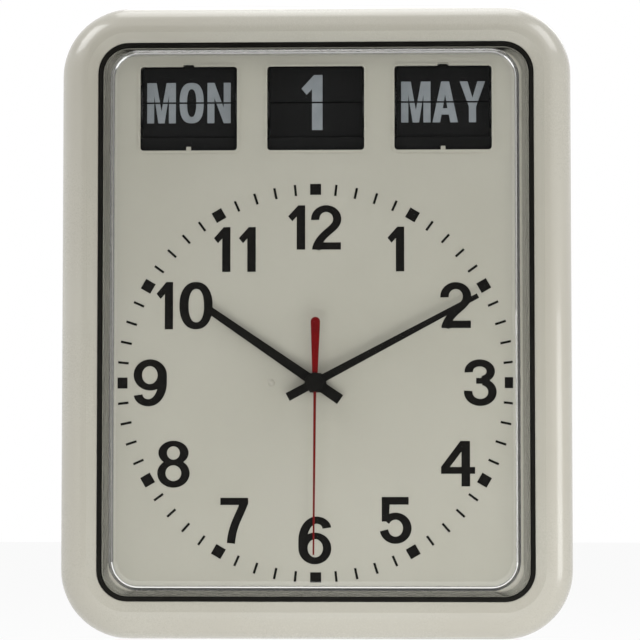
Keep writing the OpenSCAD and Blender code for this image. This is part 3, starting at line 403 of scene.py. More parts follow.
class Bench:
    """Modelling steps on one mesh at a time, as by hand."""

    @staticmethod
    def clear() -> None:
        """Deselects every object."""
        if bpy.context.object and bpy.context.object.mode != "OBJECT":
            bpy.ops.object.mode_set(mode="OBJECT")
        bpy.ops.object.select_all(action="DESELECT")

    @staticmethod
    def only(piece: bpy.types.Object) -> None:
        """Selects one object and makes it active.

        Args:
            piece: The object.
        """
        Bench.clear()
        piece.select_set(True)
        bpy.context.view_layer.objects.active = piece

    @staticmethod
    @contextmanager
    def every_face(piece: bpy.types.Object) -> Iterator[None]:
        """Opens a mesh with all its faces selected, for the steps inside the with block.

        Args:
            piece: The mesh.
        """
        Bench.only(piece)
        bpy.ops.object.mode_set(mode="EDIT")
        bpy.ops.mesh.select_mode(type="FACE")
        bpy.ops.mesh.select_all(action="SELECT")
        yield
        bpy.ops.object.mode_set(mode="OBJECT")

    @staticmethod
    def settle(piece: bpy.types.Object) -> bpy.types.Object:
        """Puts the piece's place into its mesh.

        Args:
            piece: The object.

        Returns:
            The same object.
        """
        Bench.only(piece)
        bpy.ops.object.transform_apply(location=True, rotation=True, scale=True)
        return piece

    @staticmethod
    def rounded_plate(name: str, width: float, height: float, corner: float, centre: Vector,
                      segments: int = 24) -> bpy.types.Object:
        """Makes one upright face with round corners, looking to the front.

        Args:
            name: Name of the piece.
            width: Width in millimetres.
            height: Height in millimetres.
            corner: Corner radius in millimetres.
            centre: Centre of the face, in metres.
            segments: Steps round each corner.

        Returns:
            The piece.
        """
        Bench.clear()
        bpy.ops.mesh.primitive_plane_add(size=1, location=centre, rotation=(math.pi / 2, 0, 0))
        piece = bpy.context.object
        piece.name = name
        piece.scale = (width * MM, height * MM, 1)
        Bench.settle(piece)
        bpy.ops.object.mode_set(mode="EDIT")
        bpy.ops.mesh.select_mode(type="VERT")
        bpy.ops.mesh.select_all(action="SELECT")
        bpy.ops.mesh.bevel(offset=corner * MM, segments=segments, affect="VERTICES", clamp_overlap=False)
        bpy.ops.object.mode_set(mode="OBJECT")
        return piece

    @staticmethod
    def open_plate(piece: bpy.types.Object) -> bpy.types.Object:
        """Removes a plate's face and keeps its rim.

        Args:
            piece: The plate.

        Returns:
            The same object.
        """
        with Bench.every_face(piece):
            bpy.ops.mesh.delete(type="ONLY_FACE")
        return piece

    @staticmethod
    def bridge(first: bpy.types.Object, second: bpy.types.Object) -> bpy.types.Object:
        """Joins two meshes and bridges their open rims.

        Args:
            first: The mesh that keeps its name.
            second: The mesh that is joined to it.

        Returns:
            The first mesh.
        """
        Bench.only(second)
        first.select_set(True)
        bpy.context.view_layer.objects.active = first
        bpy.ops.object.join()
        bpy.ops.object.mode_set(mode="EDIT")
        bpy.ops.mesh.select_mode(type="EDGE")
        bpy.ops.mesh.select_all(action="DESELECT")
        bpy.ops.mesh.select_non_manifold(extend=False)
        bpy.ops.mesh.bridge_edge_loops()
        bpy.ops.object.mode_set(mode="OBJECT")
        return first

    @staticmethod
    def weld(piece: bpy.types.Object, distance: float) -> None:
        """Merges points that touch and turns every face outwards.

        Args:
            piece: The mesh.
            distance: Farthest apart that merged points stand, in millimetres.
        """
        with Bench.every_face(piece):
            bpy.ops.mesh.remove_doubles(threshold=distance * MM)
            bpy.ops.mesh.normals_make_consistent(inside=False)

    @staticmethod
    def modifier(piece: bpy.types.Object, kind: str, **settings: object) -> None:
        """Adds a modifier, sets it and applies it.

        Args:
            piece: The mesh.
            kind: Type name of the modifier.
            **settings: Its properties.
        """
        Bench.only(piece)
        bpy.ops.object.modifier_add(type=kind)
        added = piece.modifiers[-1]
        for name, value in settings.items():
            setattr(added, name, value)
        bpy.ops.object.modifier_apply(modifier=added.name)

    @staticmethod
    def smooth(piece: bpy.types.Object, angle: float) -> None:
        """Shades the piece smooth across edges flatter than the angle in degrees."""
        Bench.only(piece)
        bpy.ops.object.shade_smooth_by_angle(angle=math.radians(angle))


@dataclass
class Wardrobe:
    """Makes each material once and hands finished pieces over to the frame.

    Attributes:
        finishes: Finish of each material slot.
        made: Materials made so far, by slot.
    """

    finishes: dict[str, Finish]
    made: dict[str, bpy.types.Material] = field(default_factory=dict)

    def material(self, slot: str) -> bpy.types.Material:
        """Gives the material of a slot.

        Args:
            slot: Name of the slot.

        Returns:
            The material, made at its first use.
        """
        if slot not in self.made:
            self.made[slot] = self.finishes[slot].make()
        return self.made[slot]

    def dress_nodes(self, frame: dict) -> None:
        """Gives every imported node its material.

        Args:
            frame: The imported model.
        """
        for part in frame["record"]["subparts"]:
            node = frame["nodes"][part["node"]]
            slot = part["material_slot"]
            node.data.materials.clear()
            node.data.materials.append(self.material(OWN_LOOKS.get(part["node"], slot)))

    def hand_over(self, piece: bpy.types.Object, body: Body, look: str,
                  replaced: Sequence[str] = ()) -> None:
        """Dresses a finished piece and lets it ride on its body.

        Args:
            piece: The finished mesh.
            body: The body that carries it.
            look: Name of its finish.
            replaced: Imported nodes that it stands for.
        """
        Bench.settle(piece)
        piece.data.materials.clear()
        piece.data.materials.append(self.material(look))
        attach(piece, body.value)
        if replaced:
            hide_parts(*replaced)
        LOG.info("%s: %d faces on %s", piece.name, len(piece.data.polygons), body.value)


@dataclass
class PhotoCamera:
    """Camera that stands where the photograph was taken from.

    Attributes:
        azimuth: Turn to the right of straight ahead, in degrees.
        elevation: Height above the horizon, in degrees.
        distance: Distance from the dial, in metres.
        aim: Point that the camera looks at, in metres.
        roll: Turn about the line of sight, in degrees.
        focal: Focal length in pixels.
        frame: Width of the picture in pixels.
        sensor: Width of the sensor in millimetres.
        reach: Farthest distance that it shows, in metres.
    """

    azimuth: float = 1.94
    elevation: float = -3.0
    distance: float = 1.6
    aim: Vector = field(default_factory=lambda: place(2.7, 39.5, 56.4))
    roll: float = -0.01
    focal: float = 2547.0
    frame: int = 640
    sensor: float = 36.0
    reach: float = 100.0

    def stand(self) -> None:
        """Adds the camera and makes it the scene's own."""
        turn, lift = math.radians(self.azimuth), math.radians(self.elevation)
        back = Vector((math.sin(turn) * math.cos(lift), -math.cos(turn) * math.cos(lift), math.sin(lift)))
        bpy.ops.object.camera_add(location=self.aim + back * self.distance)
        camera = bpy.context.object
        camera.name = "Photo_camera"
        camera.rotation_mode = "QUATERNION"
        look = (-back).to_track_quat("-Z", "Y").to_matrix() @ Matrix.Rotation(math.radians(self.roll), 3, "Z")
        camera.rotation_quaternion = look.to_quaternion()
        camera.data.sensor_width = self.sensor
        camera.data.lens = self.focal / self.frame * self.sensor
        camera.data.clip_end = self.reach
        bpy.context.scene.camera = camera


@dataclass
class Lamp:
    """One soft square lamp that looks at the clock.

    Attributes:
        name: Name of the lamp.
        spot: Where it stands, in metres.
        side: Length of its side, in metres.
        watts: Its power.
        mirrored: Says if gloss shows the lamp itself.
        target: Point that it looks at, in metres.
    """

    name: str
    spot: tuple[float, float, float]
    side: float
    watts: float
    mirrored: bool = True
    target: tuple[float, float, float] = (0.0, 0.0, 0.04)

    def hang(self) -> None:
        """Adds the lamp."""
        bpy.ops.object.light_add(type="AREA", location=self.spot)
        lamp = bpy.context.object
        lamp.name = self.name
        lamp.data.shape = "SQUARE"
        lamp.data.size = self.side
        lamp.data.energy = self.watts
        lamp.visible_camera = False
        lamp.visible_glossy = self.mirrored
        lamp.visible_transmission = False
        lamp.rotation_mode = "QUATERNION"
        lamp.rotation_quaternion = (Vector(self.target) - Vector(self.spot)).to_track_quat("-Z", "Y")


@dataclass
class Card:
    """A plain card that the camera doesn't see, but clear plastic and, if wanted, gloss do.

    Attributes:
        name: Name of the card.
        spot: Its middle, in metres.
        side: Length of its side, in metres.
        grey: Its brightness, linear.
        turn: Its turn about x and z, in degrees.
        mirrored: Says if gloss shows it; clear plastic always does.
    """

    name: str
    spot: tuple[float, float, float]
    side: float
    grey: float
    turn: tuple[float, float] = (90, 90)
    mirrored: bool = False

    def stand(self) -> None:
        """Adds the card."""
        Bench.clear()
        about_x, about_z = (math.radians(angle) for angle in self.turn)
        bpy.ops.mesh.primitive_plane_add(size=self.side, location=self.spot, rotation=(about_x, 0, about_z))
        card = bpy.context.object
        card.name = self.name
        material, graph = blank_material(f"{self.name}_felt")
        graph.finish(graph.node("ShaderNodeEmission", None, {
            "Color": (self.grey, self.grey, self.grey, 1), "Strength": 1.0}))
        card.data.materials.append(material)
        for ray in ("camera", "diffuse", "shadow", "volume_scatter"):
            setattr(card, f"visible_{ray}", False)
        card.visible_glossy = self.mirrored


@dataclass
class Studio:
    """Pale floor, cards for the clear lens, plain white surround and soft lamps.

    Attributes:
        floor_z: Height of the floor, in millimetres.
        floor_side: Length of its side, in metres.
        floor_cells: Number of its cells along a side.
        floor_paint: Its colour, linear.
        floor_glow: Share of plain white in what the camera sees of it.
        ambient: Strength of the surround as a light.
        cards: Cards round the clock.
        lamps: Lamps round the clock.
    """

    floor_z: float = -310.0
    floor_side: float = 12.0
    floor_cells: int = 4
    floor_paint: Colour = (0.86, 0.86, 0.85)
    floor_glow: float = 0.93
    ambient: float = 0.35
    cards: tuple[Card, ...] = (
        Card("Dark_card", (0.0, -3.6, 0.6), 4.4, 0.05, turn=(90, 0), mirrored=True),
        Card("Left_card", (-2.3, 0.2, 0.0), 2.8, 0.12),
        Card("Right_card", (2.3, 0.2, 0.0), 2.8, 0.4),
        Card("Top_card", (0.0, 0.4, 2.3), 2.8, 0.42, turn=(0, 0)),
    )
    lamps: tuple[Lamp, ...] = (
        Lamp("Low_right_lamp", (0.45, -0.8, -0.2), 0.5, 1.5, mirrored=False),
        Lamp("Low_middle_lamp", (0.0, -0.45, -0.28), 0.4, 1.7, mirrored=False),
        Lamp("Side_lamp", (1.0, -0.5, -0.1), 0.4, 2.3),
        Lamp("Upper_left_lamp", (-1.4, -0.6, 1.5), 1.0, 18),
        Lamp("Upper_right_lamp", (1.4, -0.6, 1.5), 1.0, 11.3),
        Lamp("Left_rear_lamp", (-1.5, 0.25, 0.3), 1.2, 1.4),
        Lamp("Top_lamp", (0.0, 0.3, 1.9), 1.2, 12.5),
        Lamp("Back_lamp", (0.4, 1.8, 1.6), 1.8, 12),
    )

    def build(self) -> None:
        """Adds the stage and the lamps."""
        bpy.context.scene.view_settings.view_transform = "Standard"
        self._floor()
        for card in self.cards:
            card.stand()
        self._surround()
        for lamp in self.lamps:
            lamp.hang()

    @staticmethod
    def _seen(graph: Graph) -> Wire:
        """Marks the rays that show the background itself.

        Args:
            graph: Node tree of the floor or the world.

        Returns:
            1 for those rays and 0 for the others.
        """
        path = graph.node("ShaderNodeLightPath")
        return Wire(graph, path.outputs["Is Camera Ray"]).larger(
            Wire(graph, path.outputs["Is Glossy Ray"])).larger(
            Wire(graph, path.outputs["Is Transmission Ray"]))

    def _floor(self) -> None:
        """Lays the floor under the case."""
        Bench.clear()
        bpy.ops.mesh.primitive_grid_add(x_subdivisions=self.floor_cells, y_subdivisions=self.floor_cells,
                                        size=self.floor_side, location=(0, 0, self.floor_z * MM))
        floor = bpy.context.object
        floor.name = "Pale_floor"
        material, graph = blank_material("Pale_floor_paint")
        paint = graph.node("ShaderNodeBsdfDiffuse", None, {"Color": (*self.floor_paint, 1)})
        white = graph.node("ShaderNodeEmission", None, {"Color": (1, 1, 1, 1), "Strength": 1.0})
        graph.finish(graph.node("ShaderNodeMixShader", None, {
            0: self._seen(graph) * self.floor_glow,
            1: Wire(graph, paint.outputs[0]), 2: Wire(graph, white.outputs[0])}))
        floor.data.materials.append(material)

    def _surround(self) -> None:
        """Makes the world white to look at and softer as a light."""
        world = bpy.data.worlds.new("Plain_surround")
        bpy.context.scene.world = world
        world.use_nodes = True
        graph = Graph(world.node_tree)
        seen = self._seen(graph)
        graph.finish(graph.node("ShaderNodeBackground", None, {
            "Color": (1, 1, 1, 1), "Strength": seen * (1 - self.ambient) + self.ambient}),
            "ShaderNodeOutputWorld")


@dataclass
class Nib:
    """Flat pen that draws the strokes of a glyph one unit high, broader across than up.

    Attributes:
        across: Half its width across.
        up: Half its width upwards.
    """

    across: float = 0.0925
    up: float = 0.076

    def stroke(self, path: Sequence[Point]) -> list[Point]:
        """Draws a stroke.

        Args:
            path: Points along the middle of the stroke.

        Returns:
            Its closed outline, with square ends.
        """
        left, right = [], []
        for i, here in enumerate(path):
            before, after = path[max(i - 1, 0)], path[min(i + 1, len(path) - 1)]
            dx, dy = after[0] - before[0], after[1] - before[1]
            size = math.hypot(dx, dy)
            nx, ny = -dy / size, dx / size
            reach = math.hypot(self.across * nx, self.up * ny)
            ox, oy = self.across**2 * nx / reach, self.up**2 * ny / reach
            push = nx * ox + ny * oy
            left.append((here[0] + nx * push, here[1] + ny * push))
            right.append((here[0] - nx * push, here[1] - ny * push))
        return left + right[::-1]


def arc(centre: Point, radii: Point, start: float, end: float, steps: int = 28,
        power: float = 2.0) -> list[Point]:
    """Returns points on an ellipse from one angle to another.

    Args:
        centre: Centre of the ellipse.
        radii: Half widths across and up.
        start: First angle in degrees.
        end: Last angle in degrees.
        steps: Number of steps.
        power: 2 for an ellipse; more for squarer shoulders.

    Returns:
        The points.
    """
    points = []
    for i in range(steps + 1):
        angle = math.radians(start + (end - start) * i / steps)
        c, s = math.cos(angle), math.sin(angle)
        points.append((centre[0] + radii[0] * math.copysign(abs(c) ** (2 / power), c),
                       centre[1] + radii[1] * math.copysign(abs(s) ** (2 / power), s)))
    return points


def curve(a: Point, b: Point, c: Point, d: Point, steps: int = 16) -> list[Point]:
    """Returns points on a cubic curve.

    Args:
        a: First end.
        b: Handle of the first end.
        c: Handle of the last end.
        d: Last end.
        steps: Number of steps.

    Returns:
        The points.
    """
    points = []
    for i in range(steps + 1):
        t = i / steps
        u = 1 - t
        points.append(tuple(u**3 * a[k] + 3 * u * u * t * b[k] + 3 * u * t * t * c[k] + t**3 * d[k]
                            for k in (0, 1)))
    return points


def anticlockwise(outline: list[Point]) -> list[Point]:
    """Returns the outline with its points running anticlockwise."""
    area = sum(a[0] * b[1] - b[0] * a[1] for a, b in zip(outline, outline[1:] + outline[:1]))
    return outline if area > 0 else outline[::-1]


@dataclass
class Glyph:
    """A numeral or letter one unit high, as filled outlines and the holes in them.

    Attributes:
        filled: Outlines that are filled.
        holes: Outlines that stay open.
    """

    filled: list[list[Point]]
    holes: list[list[Point]] = field(default_factory=list)

    def width(self) -> float:
        """Returns the glyph's width."""
        return max(x for outline in self.filled for x, _ in outline)

    def turned(self) -> "Glyph":
        """Turns the glyph upside down in its own box.

        Returns:
            The turned glyph.
        """
        width = self.width()

        def flip(outlines: list[list[Point]]) -> list[list[Point]]:
            """Turns each outline by half a turn."""
            return [[(width - x, 1 - y) for x, y in outline] for outline in outlines]

        return Glyph(flip(self.filled), flip(self.holes))


class TypeCase:
    """The glyphs that the dial and the leaves use, drawn from strokes and outlines."""

    INSIDE_ONLY: int = 1
    NEARNESS: float = 1e-5

    def __init__(self) -> None:
        """Draws every glyph."""
        pen = Nib()
        self.glyphs: dict[str, Glyph] = self._figures(pen) | self._letters(pen)

    @staticmethod
    def _figures(pen: Nib) -> dict[str, Glyph]:
        """Draws the figures of the dial and of the date.

        Args:
            pen: Pen that draws their strokes.

        Returns:
            The glyph of each figure.
        """
        edge = pen.across
        six_ring = arc((0.348, 0.332), (0.348, 0.332), 0, 360, 48)
        six_tail = ([(edge, 0.34)] + arc((0.385, 0.5), (0.2925, 0.424), 178, 90, 20)
                    + arc((0.385, 0.745), (0.215, 0.179), 88, 4, 14))
        six = Glyph([six_ring, pen.stroke(six_tail)], [arc((0.356, 0.336), (0.162, 0.19), 0, 360, 40)])
        return {
            "0": Glyph([arc((0.348, 0.5), (0.348, 0.5), 0, 360, 56, 2.25)],
                       [arc((0.354, 0.5), (0.162, 0.352), 0, 360, 48, 2.25)]),
            "1": Glyph([[(0.191, 0), (0.382, 0), (0.382, 1), (0.226, 1), (0, 0.753),
                         (0.094, 0.641), (0.191, 0.744)]]),
            "2": Glyph([pen.stroke([(edge, 0.668)] + arc((0.337, 0.69), (0.245, 0.234), 180, -36, 26)
                                   + curve((0.528, 0.545), (0.44, 0.42), (0.17, 0.30), (0.108, 0.0))[1:]),
                        [(0.02, 0), (0.665, 0), (0.665, 0.162), (0.10, 0.162)]]),
            "3": Glyph([pen.stroke(arc((0.343, 0.744), (0.239, 0.18), 187, -78, 28)),
                        pen.stroke(arc((0.354, 0.3), (0.264, 0.224), 78, -187, 30)),
                        [(0.264, 0.477), (0.44, 0.477), (0.44, 0.603), (0.264, 0.603)]]),
            "4": Glyph([[(0.43, 1), (0, 0.43), (0, 0.277), (0.452, 0.277), (0.452, 0), (0.643, 0),
                         (0.643, 0.277), (0.755, 0.277), (0.755, 0.427), (0.643, 0.427), (0.643, 1)]],
                       [[(0.452, 0.427), (0.452, 0.76), (0.197, 0.427)]]),
            "5": Glyph([[(0.037, 0.474), (0.19, 0.474), (0.207, 0.836), (0.61, 0.836), (0.61, 1),
                         (0.037, 1)],
                        pen.stroke(arc((0.33, 0.333), (0.25, 0.257), 146, -170, 34))]),
            "6": six,
            "7": Glyph([[(0, 0.842), (0.62, 0.842), (0.62, 1), (0, 1)],
                        pen.stroke(curve((0.54, 0.95), (0.48, 0.66), (0.27, 0.46), (0.238, 0)))]),
            "8": Glyph([arc((0.345, 0.742), (0.322, 0.258), 0, 360, 40),
                        arc((0.345, 0.306), (0.345, 0.306), 0, 360, 44)],
                       [arc((0.343, 0.738), (0.137, 0.141), 0, 360, 32),
                        arc((0.343, 0.309), (0.167, 0.167), 0, 360, 36)]),
            "9": six.turned(),
        }

    @staticmethod
    def _letters(pen: Nib) -> dict[str, Glyph]:
        """Draws the letters of the days and months.

        Args:
            pen: Pen that draws their strokes.

        Returns:
            The glyph of each letter.
        """
        edge = pen.across
        return {
            "A": Glyph([[(0, 0), (0.19, 0), (0.228, 0.19), (0.412, 0.19), (0.45, 0), (0.64, 0),
                         (0.42, 1), (0.22, 1)]], [[(0.262, 0.345), (0.378, 0.345), (0.32, 0.68)]]),
            "E": Glyph([[(0, 0), (0.5, 0), (0.5, 0.17), (0.19, 0.17), (0.19, 0.42), (0.46, 0.42),
                         (0.46, 0.58), (0.19, 0.58), (0.19, 0.83), (0.49, 0.83), (0.49, 1), (0, 1)]]),
            "J": Glyph([pen.stroke([(0.37, 1), (0.37, 0.6)]
                                   + arc((0.23, 0.24), (0.14, 0.165), 0, -185, 18))]),
            "M": Glyph([[(0, 0), (0.18, 0), (0.18, 0.68), (0.29, 0), (0.45, 0), (0.56, 0.68), (0.56, 0),
                         (0.74, 0), (0.74, 1), (0.5, 1), (0.37, 0.3), (0.24, 1), (0, 1)]]),
            "N": Glyph([[(0, 0), (0.18, 0), (0.18, 0.62), (0.42, 0), (0.6, 0), (0.6, 1), (0.42, 1),
                         (0.42, 0.38), (0.18, 1), (0, 1)]]),
            "O": Glyph([arc((0.31, 0.5), (0.31, 0.5), 0, 360, 48, 2.6)],
                       [arc((0.31, 0.5), (0.118, 0.345), 0, 360, 40, 2.4)]),
            "T": Glyph([[(0.19, 0), (0.37, 0), (0.37, 0.83), (0.56, 0.83), (0.56, 1), (0, 1),
                         (0, 0.83), (0.19, 0.83)]]),
            "U": Glyph([pen.stroke([(edge, 1), (edge, 0.6)]
                                   + arc((0.3, 0.27), (0.2075, 0.194), 180, 360, 22)
                                   + [(0.5075, 0.6), (0.5075, 1)])]),
            "Y": Glyph([[(0.23, 0), (0.41, 0), (0.41, 0.38), (0.64, 1), (0.445, 1), (0.32, 0.6),
                         (0.195, 1), (0, 1), (0.23, 0.38)]]),
        }

    def flat(self, name: str, text: str, extents: Sequence[Point], low: float,
             high: float) -> bpy.types.Object:
        """Sets a text as one flat mesh in x and y.

        Args:
            name: Name of the piece.
            text: The characters.
            extents: Left and right of each character, in millimetres.
            low: Foot of the characters, in millimetres.
            high: Top of the characters, in millimetres.

        Returns:
            The flat mesh, in metres.
        """
        points: list[Vector] = []
        triangles: list[tuple[int, ...]] = []
        for character, (left, right) in zip(text, extents):
            glyph = self.glyphs[character]
            widen, rise = (right - left) / glyph.width(), high - low
            outlines = [anticlockwise(outline) for outline in glyph.filled + glyph.holes]
            corners = [Vector((left + x * widen, low + y * rise)) for outline in outlines for x, y in outline]
            faces, first = [], 0
            for outline in outlines:
                faces.append(list(range(first, first + len(outline))))
                first += len(outline)
            spots, _, cells, _, _, origins = delaunay_2d_cdt(corners, [], faces, self.INSIDE_ONLY,
                                                             self.NEARNESS)
            base = len(points)
            points += [Vector((spot.x, spot.y, 0)) * MM for spot in spots]
            triangles += [tuple(base + k for k in cell) for cell, origin in zip(cells, origins)
                          if origin and not any(k >= len(glyph.filled) for k in origin)]
        mesh = bpy.data.meshes.new(name)
        mesh.from_pydata(points, [], triangles)
        piece = bpy.data.objects.new(name, mesh)
        bpy.context.scene.collection.objects.link(piece)
        return piece


def stand_up(piece: bpy.types.Object, front: float, thickness: float) -> bpy.types.Object:
    """Turns a flat print upright at a depth and gives it its thickness to the front.

    Args:
        piece: Flat mesh in x and y, in metres.
        front: Depth of the surface that carries it, in millimetres.
        thickness: Height of the print, in millimetres.

    Returns:
        The same piece, with its place in its mesh.
    """
    piece.location = (0, -front * MM, 0)
    piece.rotation_euler = (math.pi / 2, 0, 0)
    Bench.settle(piece)
    Bench.weld(piece, PRINT_WELD)
    if piece.data.polygons[0].normal.y > 0:
        with Bench.every_face(piece):
            bpy.ops.mesh.flip_normals()
    Bench.modifier(piece, "SOLIDIFY", thickness=thickness * MM, offset=1, use_even_offset=True)
    return piece


@dataclass
class Lens:
    """The clear moulded lens with its round front edge, leaning walls and flange.

    Attributes:
        corner_x: Distance from the middle to the corner centres, across.
        corner_z: The same, upwards.
        centre_z: Height of the middle above the hands' axis.
        foot_r: Corner radius at the foot of the walls.
        face_r: Corner radius where the front edge starts to turn in.
        lean_side: Lean of the side walls from foot to edge.
        lean_rise: Lean of the upper and lower walls.
        edge_r: Radius of the front edge.
        edge_steps: Steps round the front edge.
        face_margin: Width of the flat band next to the edge.
        crease: Share of the wall's depth that keeps each of its ends crisp.
        flange_r: Corner radius of the flange.
        flange_front: Depth of the flange's front at the walls.
        flange_fall: Fall of the flange from the walls to its rim.
        front: Depth of the face.
        wall: Thickness.
        weld: Farthest apart that merged points stand.
        smooth_angle: Edges flatter than this, in degrees, are shaded smooth.
    """

    corner_x: float = 117.5
    corner_z: float = 156.0
    centre_z: float = 39.0
    foot_r: float = 16.2
    face_r: float = 18.5
    lean_side: float = 6.5
    lean_rise: float = 4.4
    edge_r: float = 6.0
    edge_steps: int = 10
    face_margin: float = 0.3
    crease: float = 0.015
    flange_r: float = 25.8
    flange_front: float = 59.3
    flange_fall: float = 0.1
    front: float = 88.0
    wall: float = 2.5
    weld: float = 0.01
    smooth_angle: float = 40.0

    def build(self) -> bpy.types.Object:
        """Models the lens.

        Returns:
            The finished mesh.
        """
        lens = self._ring("Clear_lens", 1.0)
        self._roll_edge(lens)
        levels = (("Lens_shoulder", 1 - self.crease), ("Lens_wall", self.crease), ("Lens_foot", 0.0))
        for name, share in levels:
            lens = Bench.bridge(lens, Bench.open_plate(self._ring(name, share)))
        rim = Bench.open_plate(Bench.rounded_plate(
            "Lens_rim", 2 * (self.corner_x + self.flange_r), 2 * (self.corner_z + self.flange_r),
            self.flange_r, place(0, self.centre_z, self.flange_front - self.flange_fall)))
        lens = Bench.bridge(lens, rim)
        Bench.weld(lens, self.weld)
        Bench.modifier(lens, "SOLIDIFY", thickness=self.wall * MM, offset=-1, use_even_offset=True)
        Bench.smooth(lens, self.smooth_angle)
        return lens

    def _roll_edge(self, plate: bpy.types.Object) -> None:
        """Rolls the plate's edge forward and in, up to the flat face.

        Args:
            plate: The wall's outline where the edge starts.
        """
        with Bench.every_face(plate):
            for i in range(self.edge_steps):
                a, b = (math.pi / 2 * k / self.edge_steps for k in (i, i + 1))
                bpy.ops.mesh.inset(thickness=self.edge_r * (math.cos(a) - math.cos(b)) * MM,
                                   depth=self.edge_r * (math.sin(b) - math.sin(a)) * MM)
            bpy.ops.mesh.inset(thickness=self.face_margin * MM)

    def _ring(self, name: str, share: float) -> bpy.types.Object:
        """Makes the wall's outline as a plate.

        Args:
            name: Name of the plate.
            share: Place on the wall, from 0 at the foot to 1 where the edge starts.

        Returns:
            The plate.
        """
        depth = self.flange_front + share * (self.front - self.edge_r - self.flange_front)
        return Bench.rounded_plate(
            name, 2 * (self.corner_x + self.foot_r - share * self.lean_side),
            2 * (self.corner_z + self.foot_r - share * self.lean_rise),
            self.foot_r + share * (self.face_r - self.foot_r), place(0, self.centre_z, depth))


@dataclass(frozen=True)
class Numeral:
    """One numeral of the dial, by its extents in pixels of the photograph.

    Attributes:
        text: Its characters.
        sides: Left and right of each character.
        foot: Row of its foot.
        top: Row of its top.
    """

    text: str
    sides: tuple[Point, ...]
    foot: float
    top: float


@dataclass
class DialNumerals:
    """Plain numerals printed on the dial.

    Attributes:
        front: Depth of the dial's face from the wall, in millimetres.
        thickness: Height of the print, in millimetres.
        axis_column: Column of the hands' axis, in pixels of the photograph.
        axis_row: Row of the hands' axis.
        pixel: Size of a pixel at the dial, in millimetres.
        numerals: The numerals, clockwise from the top.
    """

    front: float = 56.4
    thickness: float = 0.1
    axis_column: float = 316.25
    axis_row: float = 383.75
    pixel: float = 0.628
    numerals: tuple[Numeral, ...] = (
        Numeral("12", sides=((288.7, 305.8), (311.7, 342.0)), foot=250.3, top=205.8),
        Numeral("1", sides=((388.1, 404.9),), foot=272.4, top=227.5),
        Numeral("2", sides=((440.8, 471.7),), foot=329.2, top=283.3),
        Numeral("3", sides=((464.2, 496.7),), foot=407.0, top=360.5),
        Numeral("4", sides=((441.1, 475.0),), foot=486.9, top=441.7),
        Numeral("5", sides=((380.3, 411.7),), foot=543.9, top=497.4),
        Numeral("6", sides=((299.0, 331.9),), foot=564.3, top=516.9),
        Numeral("7", sides=((221.1, 249.3),), foot=543.6, top=498.3),
        Numeral("8", sides=((157.9, 190.4),), foot=488.3, top=441.4),
        Numeral("9", sides=((133.9, 167.3),), foot=407.1, top=360.0),
        Numeral("10", sides=((156.7, 173.3), (179.7, 213.0)), foot=330.0, top=282.5),
        Numeral("11", sides=((214.2, 230.8), (239.2, 256.2)), foot=272.5, top=227.5),
    )

    def build(self, types: TypeCase) -> bpy.types.Object:
        """Models the numerals as one printed piece.

        Args:
            types: The glyphs.

        Returns:
            The finished mesh.
        """
        parts = []
        for numeral in self.numerals:
            across = [tuple((column - self.axis_column) * self.pixel for column in side)
                      for side in numeral.sides]
            low, high = ((self.axis_row - row) * self.pixel for row in (numeral.foot, numeral.top))
            parts.append(types.flat(f"Numeral_{numeral.text}", numeral.text, across, low, high))
        Bench.clear()
        for part in parts:
            part.select_set(True)
        bpy.context.view_layer.objects.active = parts[0]
        bpy.ops.object.join()
        numerals = bpy.context.object
        numerals.name = "Dial_numerals"
        return stand_up(numerals, self.front, self.thickness)


@dataclass(frozen=True)
class Word:
    """A word or number as it is set across the leaves of one window, in millimetres.

    Attributes:
        text: Its characters.
        centre: Its middle.
        width: Its whole width, or None where it keeps its glyphs' own proportions.
        gap: Space between its characters.
    """

    text: str
    centre: float
    width: float | None = None
    gap: float = 0.0

    def extents(self, types: TypeCase, height: float) -> list[Point]:
        """Places the characters side by side.

        Args:
            types: The glyphs.
            height: Height of the characters.

        Returns:
            Left and right of each character.
        """
        natural = [types.glyphs[character].width() for character in self.text]
        gaps = self.gap * (len(self.text) - 1)
        scale = height if self.width is None else (self.width - gaps) / sum(natural)
        left = self.centre - (sum(natural) * scale + gaps) / 2
        extents = []
        for share in natural:
            extents.append((left, left + share * scale))
            left += share * scale + self.gap
        return extents


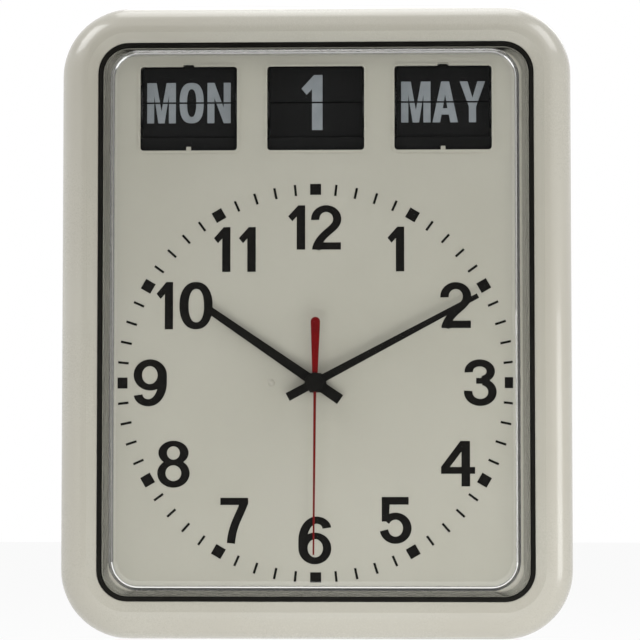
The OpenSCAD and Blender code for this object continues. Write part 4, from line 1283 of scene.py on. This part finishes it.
@dataclass
class LeafWord:
    """The words of one calendar window, split over its upper and lower leaves.

    Attributes:
        unit: Name of the unit.
        drum: Body of the drum.
        leaf: Body of the leaf that falls.
        count: Number of leaves on the drum.
        height: Height of the characters, in millimetres, as are all that follow the words.
        now: Word that shows.
        following: Word that shows after the next leaf has fallen.
        split: Height of the line between the leaves, above the hands' axis.
        slit: Gap between the halves of a word.
        axle: Depth of the drum's axle from the wall.
        pin_circle: Radius of the circle on which the leaves hang.
        leaf_t: Thickness of a leaf.
        print_t: Thickness of the print.
    """

    unit: str
    drum: Body
    leaf: Body
    count: int
    height: float
    now: Word
    following: Word
    split: float = 177.5
    slit: float = 1.0
    axle: float = 38.5
    pin_circle: float = 13.0
    leaf_t: float = 0.3
    print_t: float = 0.02

    def build(self, types: TypeCase) -> list[tuple[bpy.types.Object, Body]]:
        """Models the print on the front and back of the leaves.

        Args:
            types: The glyphs.

        Returns:
            Each print with the body that carries it.
        """
        half_step = self._half_step()
        rise = self.pin_circle * math.sin(half_step)
        pin = place(0, self.split + rise, self.axle + self.pin_circle * math.cos(half_step))
        axle = Matrix.Translation(place(0, self.split, self.axle))
        waiting = axle @ Matrix.Rotation(-2 * half_step, 4, "X") @ axle.inverted()
        lifted = (Matrix.Translation(pin) @ Matrix.Rotation(math.pi, 4, "X") @ Matrix.Translation(-pin)
                  @ Matrix.Translation(place(0, 2 * rise, 0)))
        made = [
            (self._half(types, self.now, True, "top"), self.leaf),
            (self._half(types, self.now, False, "foot"), self.drum),
        ]
        behind = self._half(types, self.following, True, "next_top")
        behind.data.transform(waiting)
        made.append((behind, self.drum))
        back = self._half(types, self.following, False, "next_foot")
        back.data.transform(lifted)
        made.append((back, self.leaf))
        return made

    def _half_step(self) -> float:
        """Returns half the angle from one leaf to the next, in radians."""
        return math.radians(180 / self.count)

    def _half(self, types: TypeCase, word: Word, upper: bool, part: str) -> bpy.types.Object:
        """Models the upper or lower half of a word on the leaf that shows it.

        Args:
            types: The glyphs.
            word: The word.
            upper: Says if the upper half is wanted.
            part: Name of the half.

        Returns:
            The finished mesh.
        """
        low = self.split - self.height / 2
        extents = word.extents(types, self.height)
        half = types.flat(f"{self.unit}_print_{part}", word.text, extents, low, low + self.height)
        edge = (self.split + (self.slit / 2 if upper else -self.slit / 2)) * MM
        with Bench.every_face(half):
            bpy.ops.mesh.bisect(plane_co=(0, edge, 0), plane_no=(0, 1, 0), clear_inner=upper,
                                clear_outer=not upper)
        front = self.axle + self.pin_circle * math.cos(self._half_step()) + self.leaf_t / 2
        return stand_up(half, front, self.print_t)


def calendar_words() -> tuple[LeafWord, ...]:
    """Returns the words of the three windows, now and after the next leaf."""
    return (
        LeafWord("Day", Body.DAY_DRUM, Body.DAY_LEAF, count=28, height=25.7,
                 now=Word("MON", centre=-80.5, width=53, gap=2.4),
                 following=Word("TUE", centre=-80.5, width=50, gap=2.8)),
        LeafWord("Date", Body.DATE_DRUM, Body.DATE_LEAF, count=31, height=35.0,
                 now=Word("1", centre=-2.45, width=13.3), following=Word("2", centre=-1.0)),
        LeafWord("Month", Body.MONTH_DRUM, Body.MONTH_LEAF, count=24, height=26.0,
                 now=Word("MAY", centre=80.4, width=53, gap=1.2),
                 following=Word("JUN", centre=80.4, width=50, gap=3.0)),
    )


def main() -> None:
    """Builds the dressed clock in order."""
    logging.basicConfig(level=logging.INFO, format="%(message)s")
    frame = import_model()
    Bench.clear()
    PhotoCamera().stand()
    Studio().build()
    wardrobe = Wardrobe(clock_finishes())
    wardrobe.dress_nodes(frame)
    wardrobe.hand_over(Lens().build(), Body.CLOCK, "lens_acrylic", ("lens",))
    types = TypeCase()
    wardrobe.hand_over(DialNumerals().build(types), Body.CLOCK, "black_paint")
    for words in calendar_words():
        for piece, body in words.build(types):
            wardrobe.hand_over(piece, body, "leaf_print")


if __name__ == "__main__":
    main()
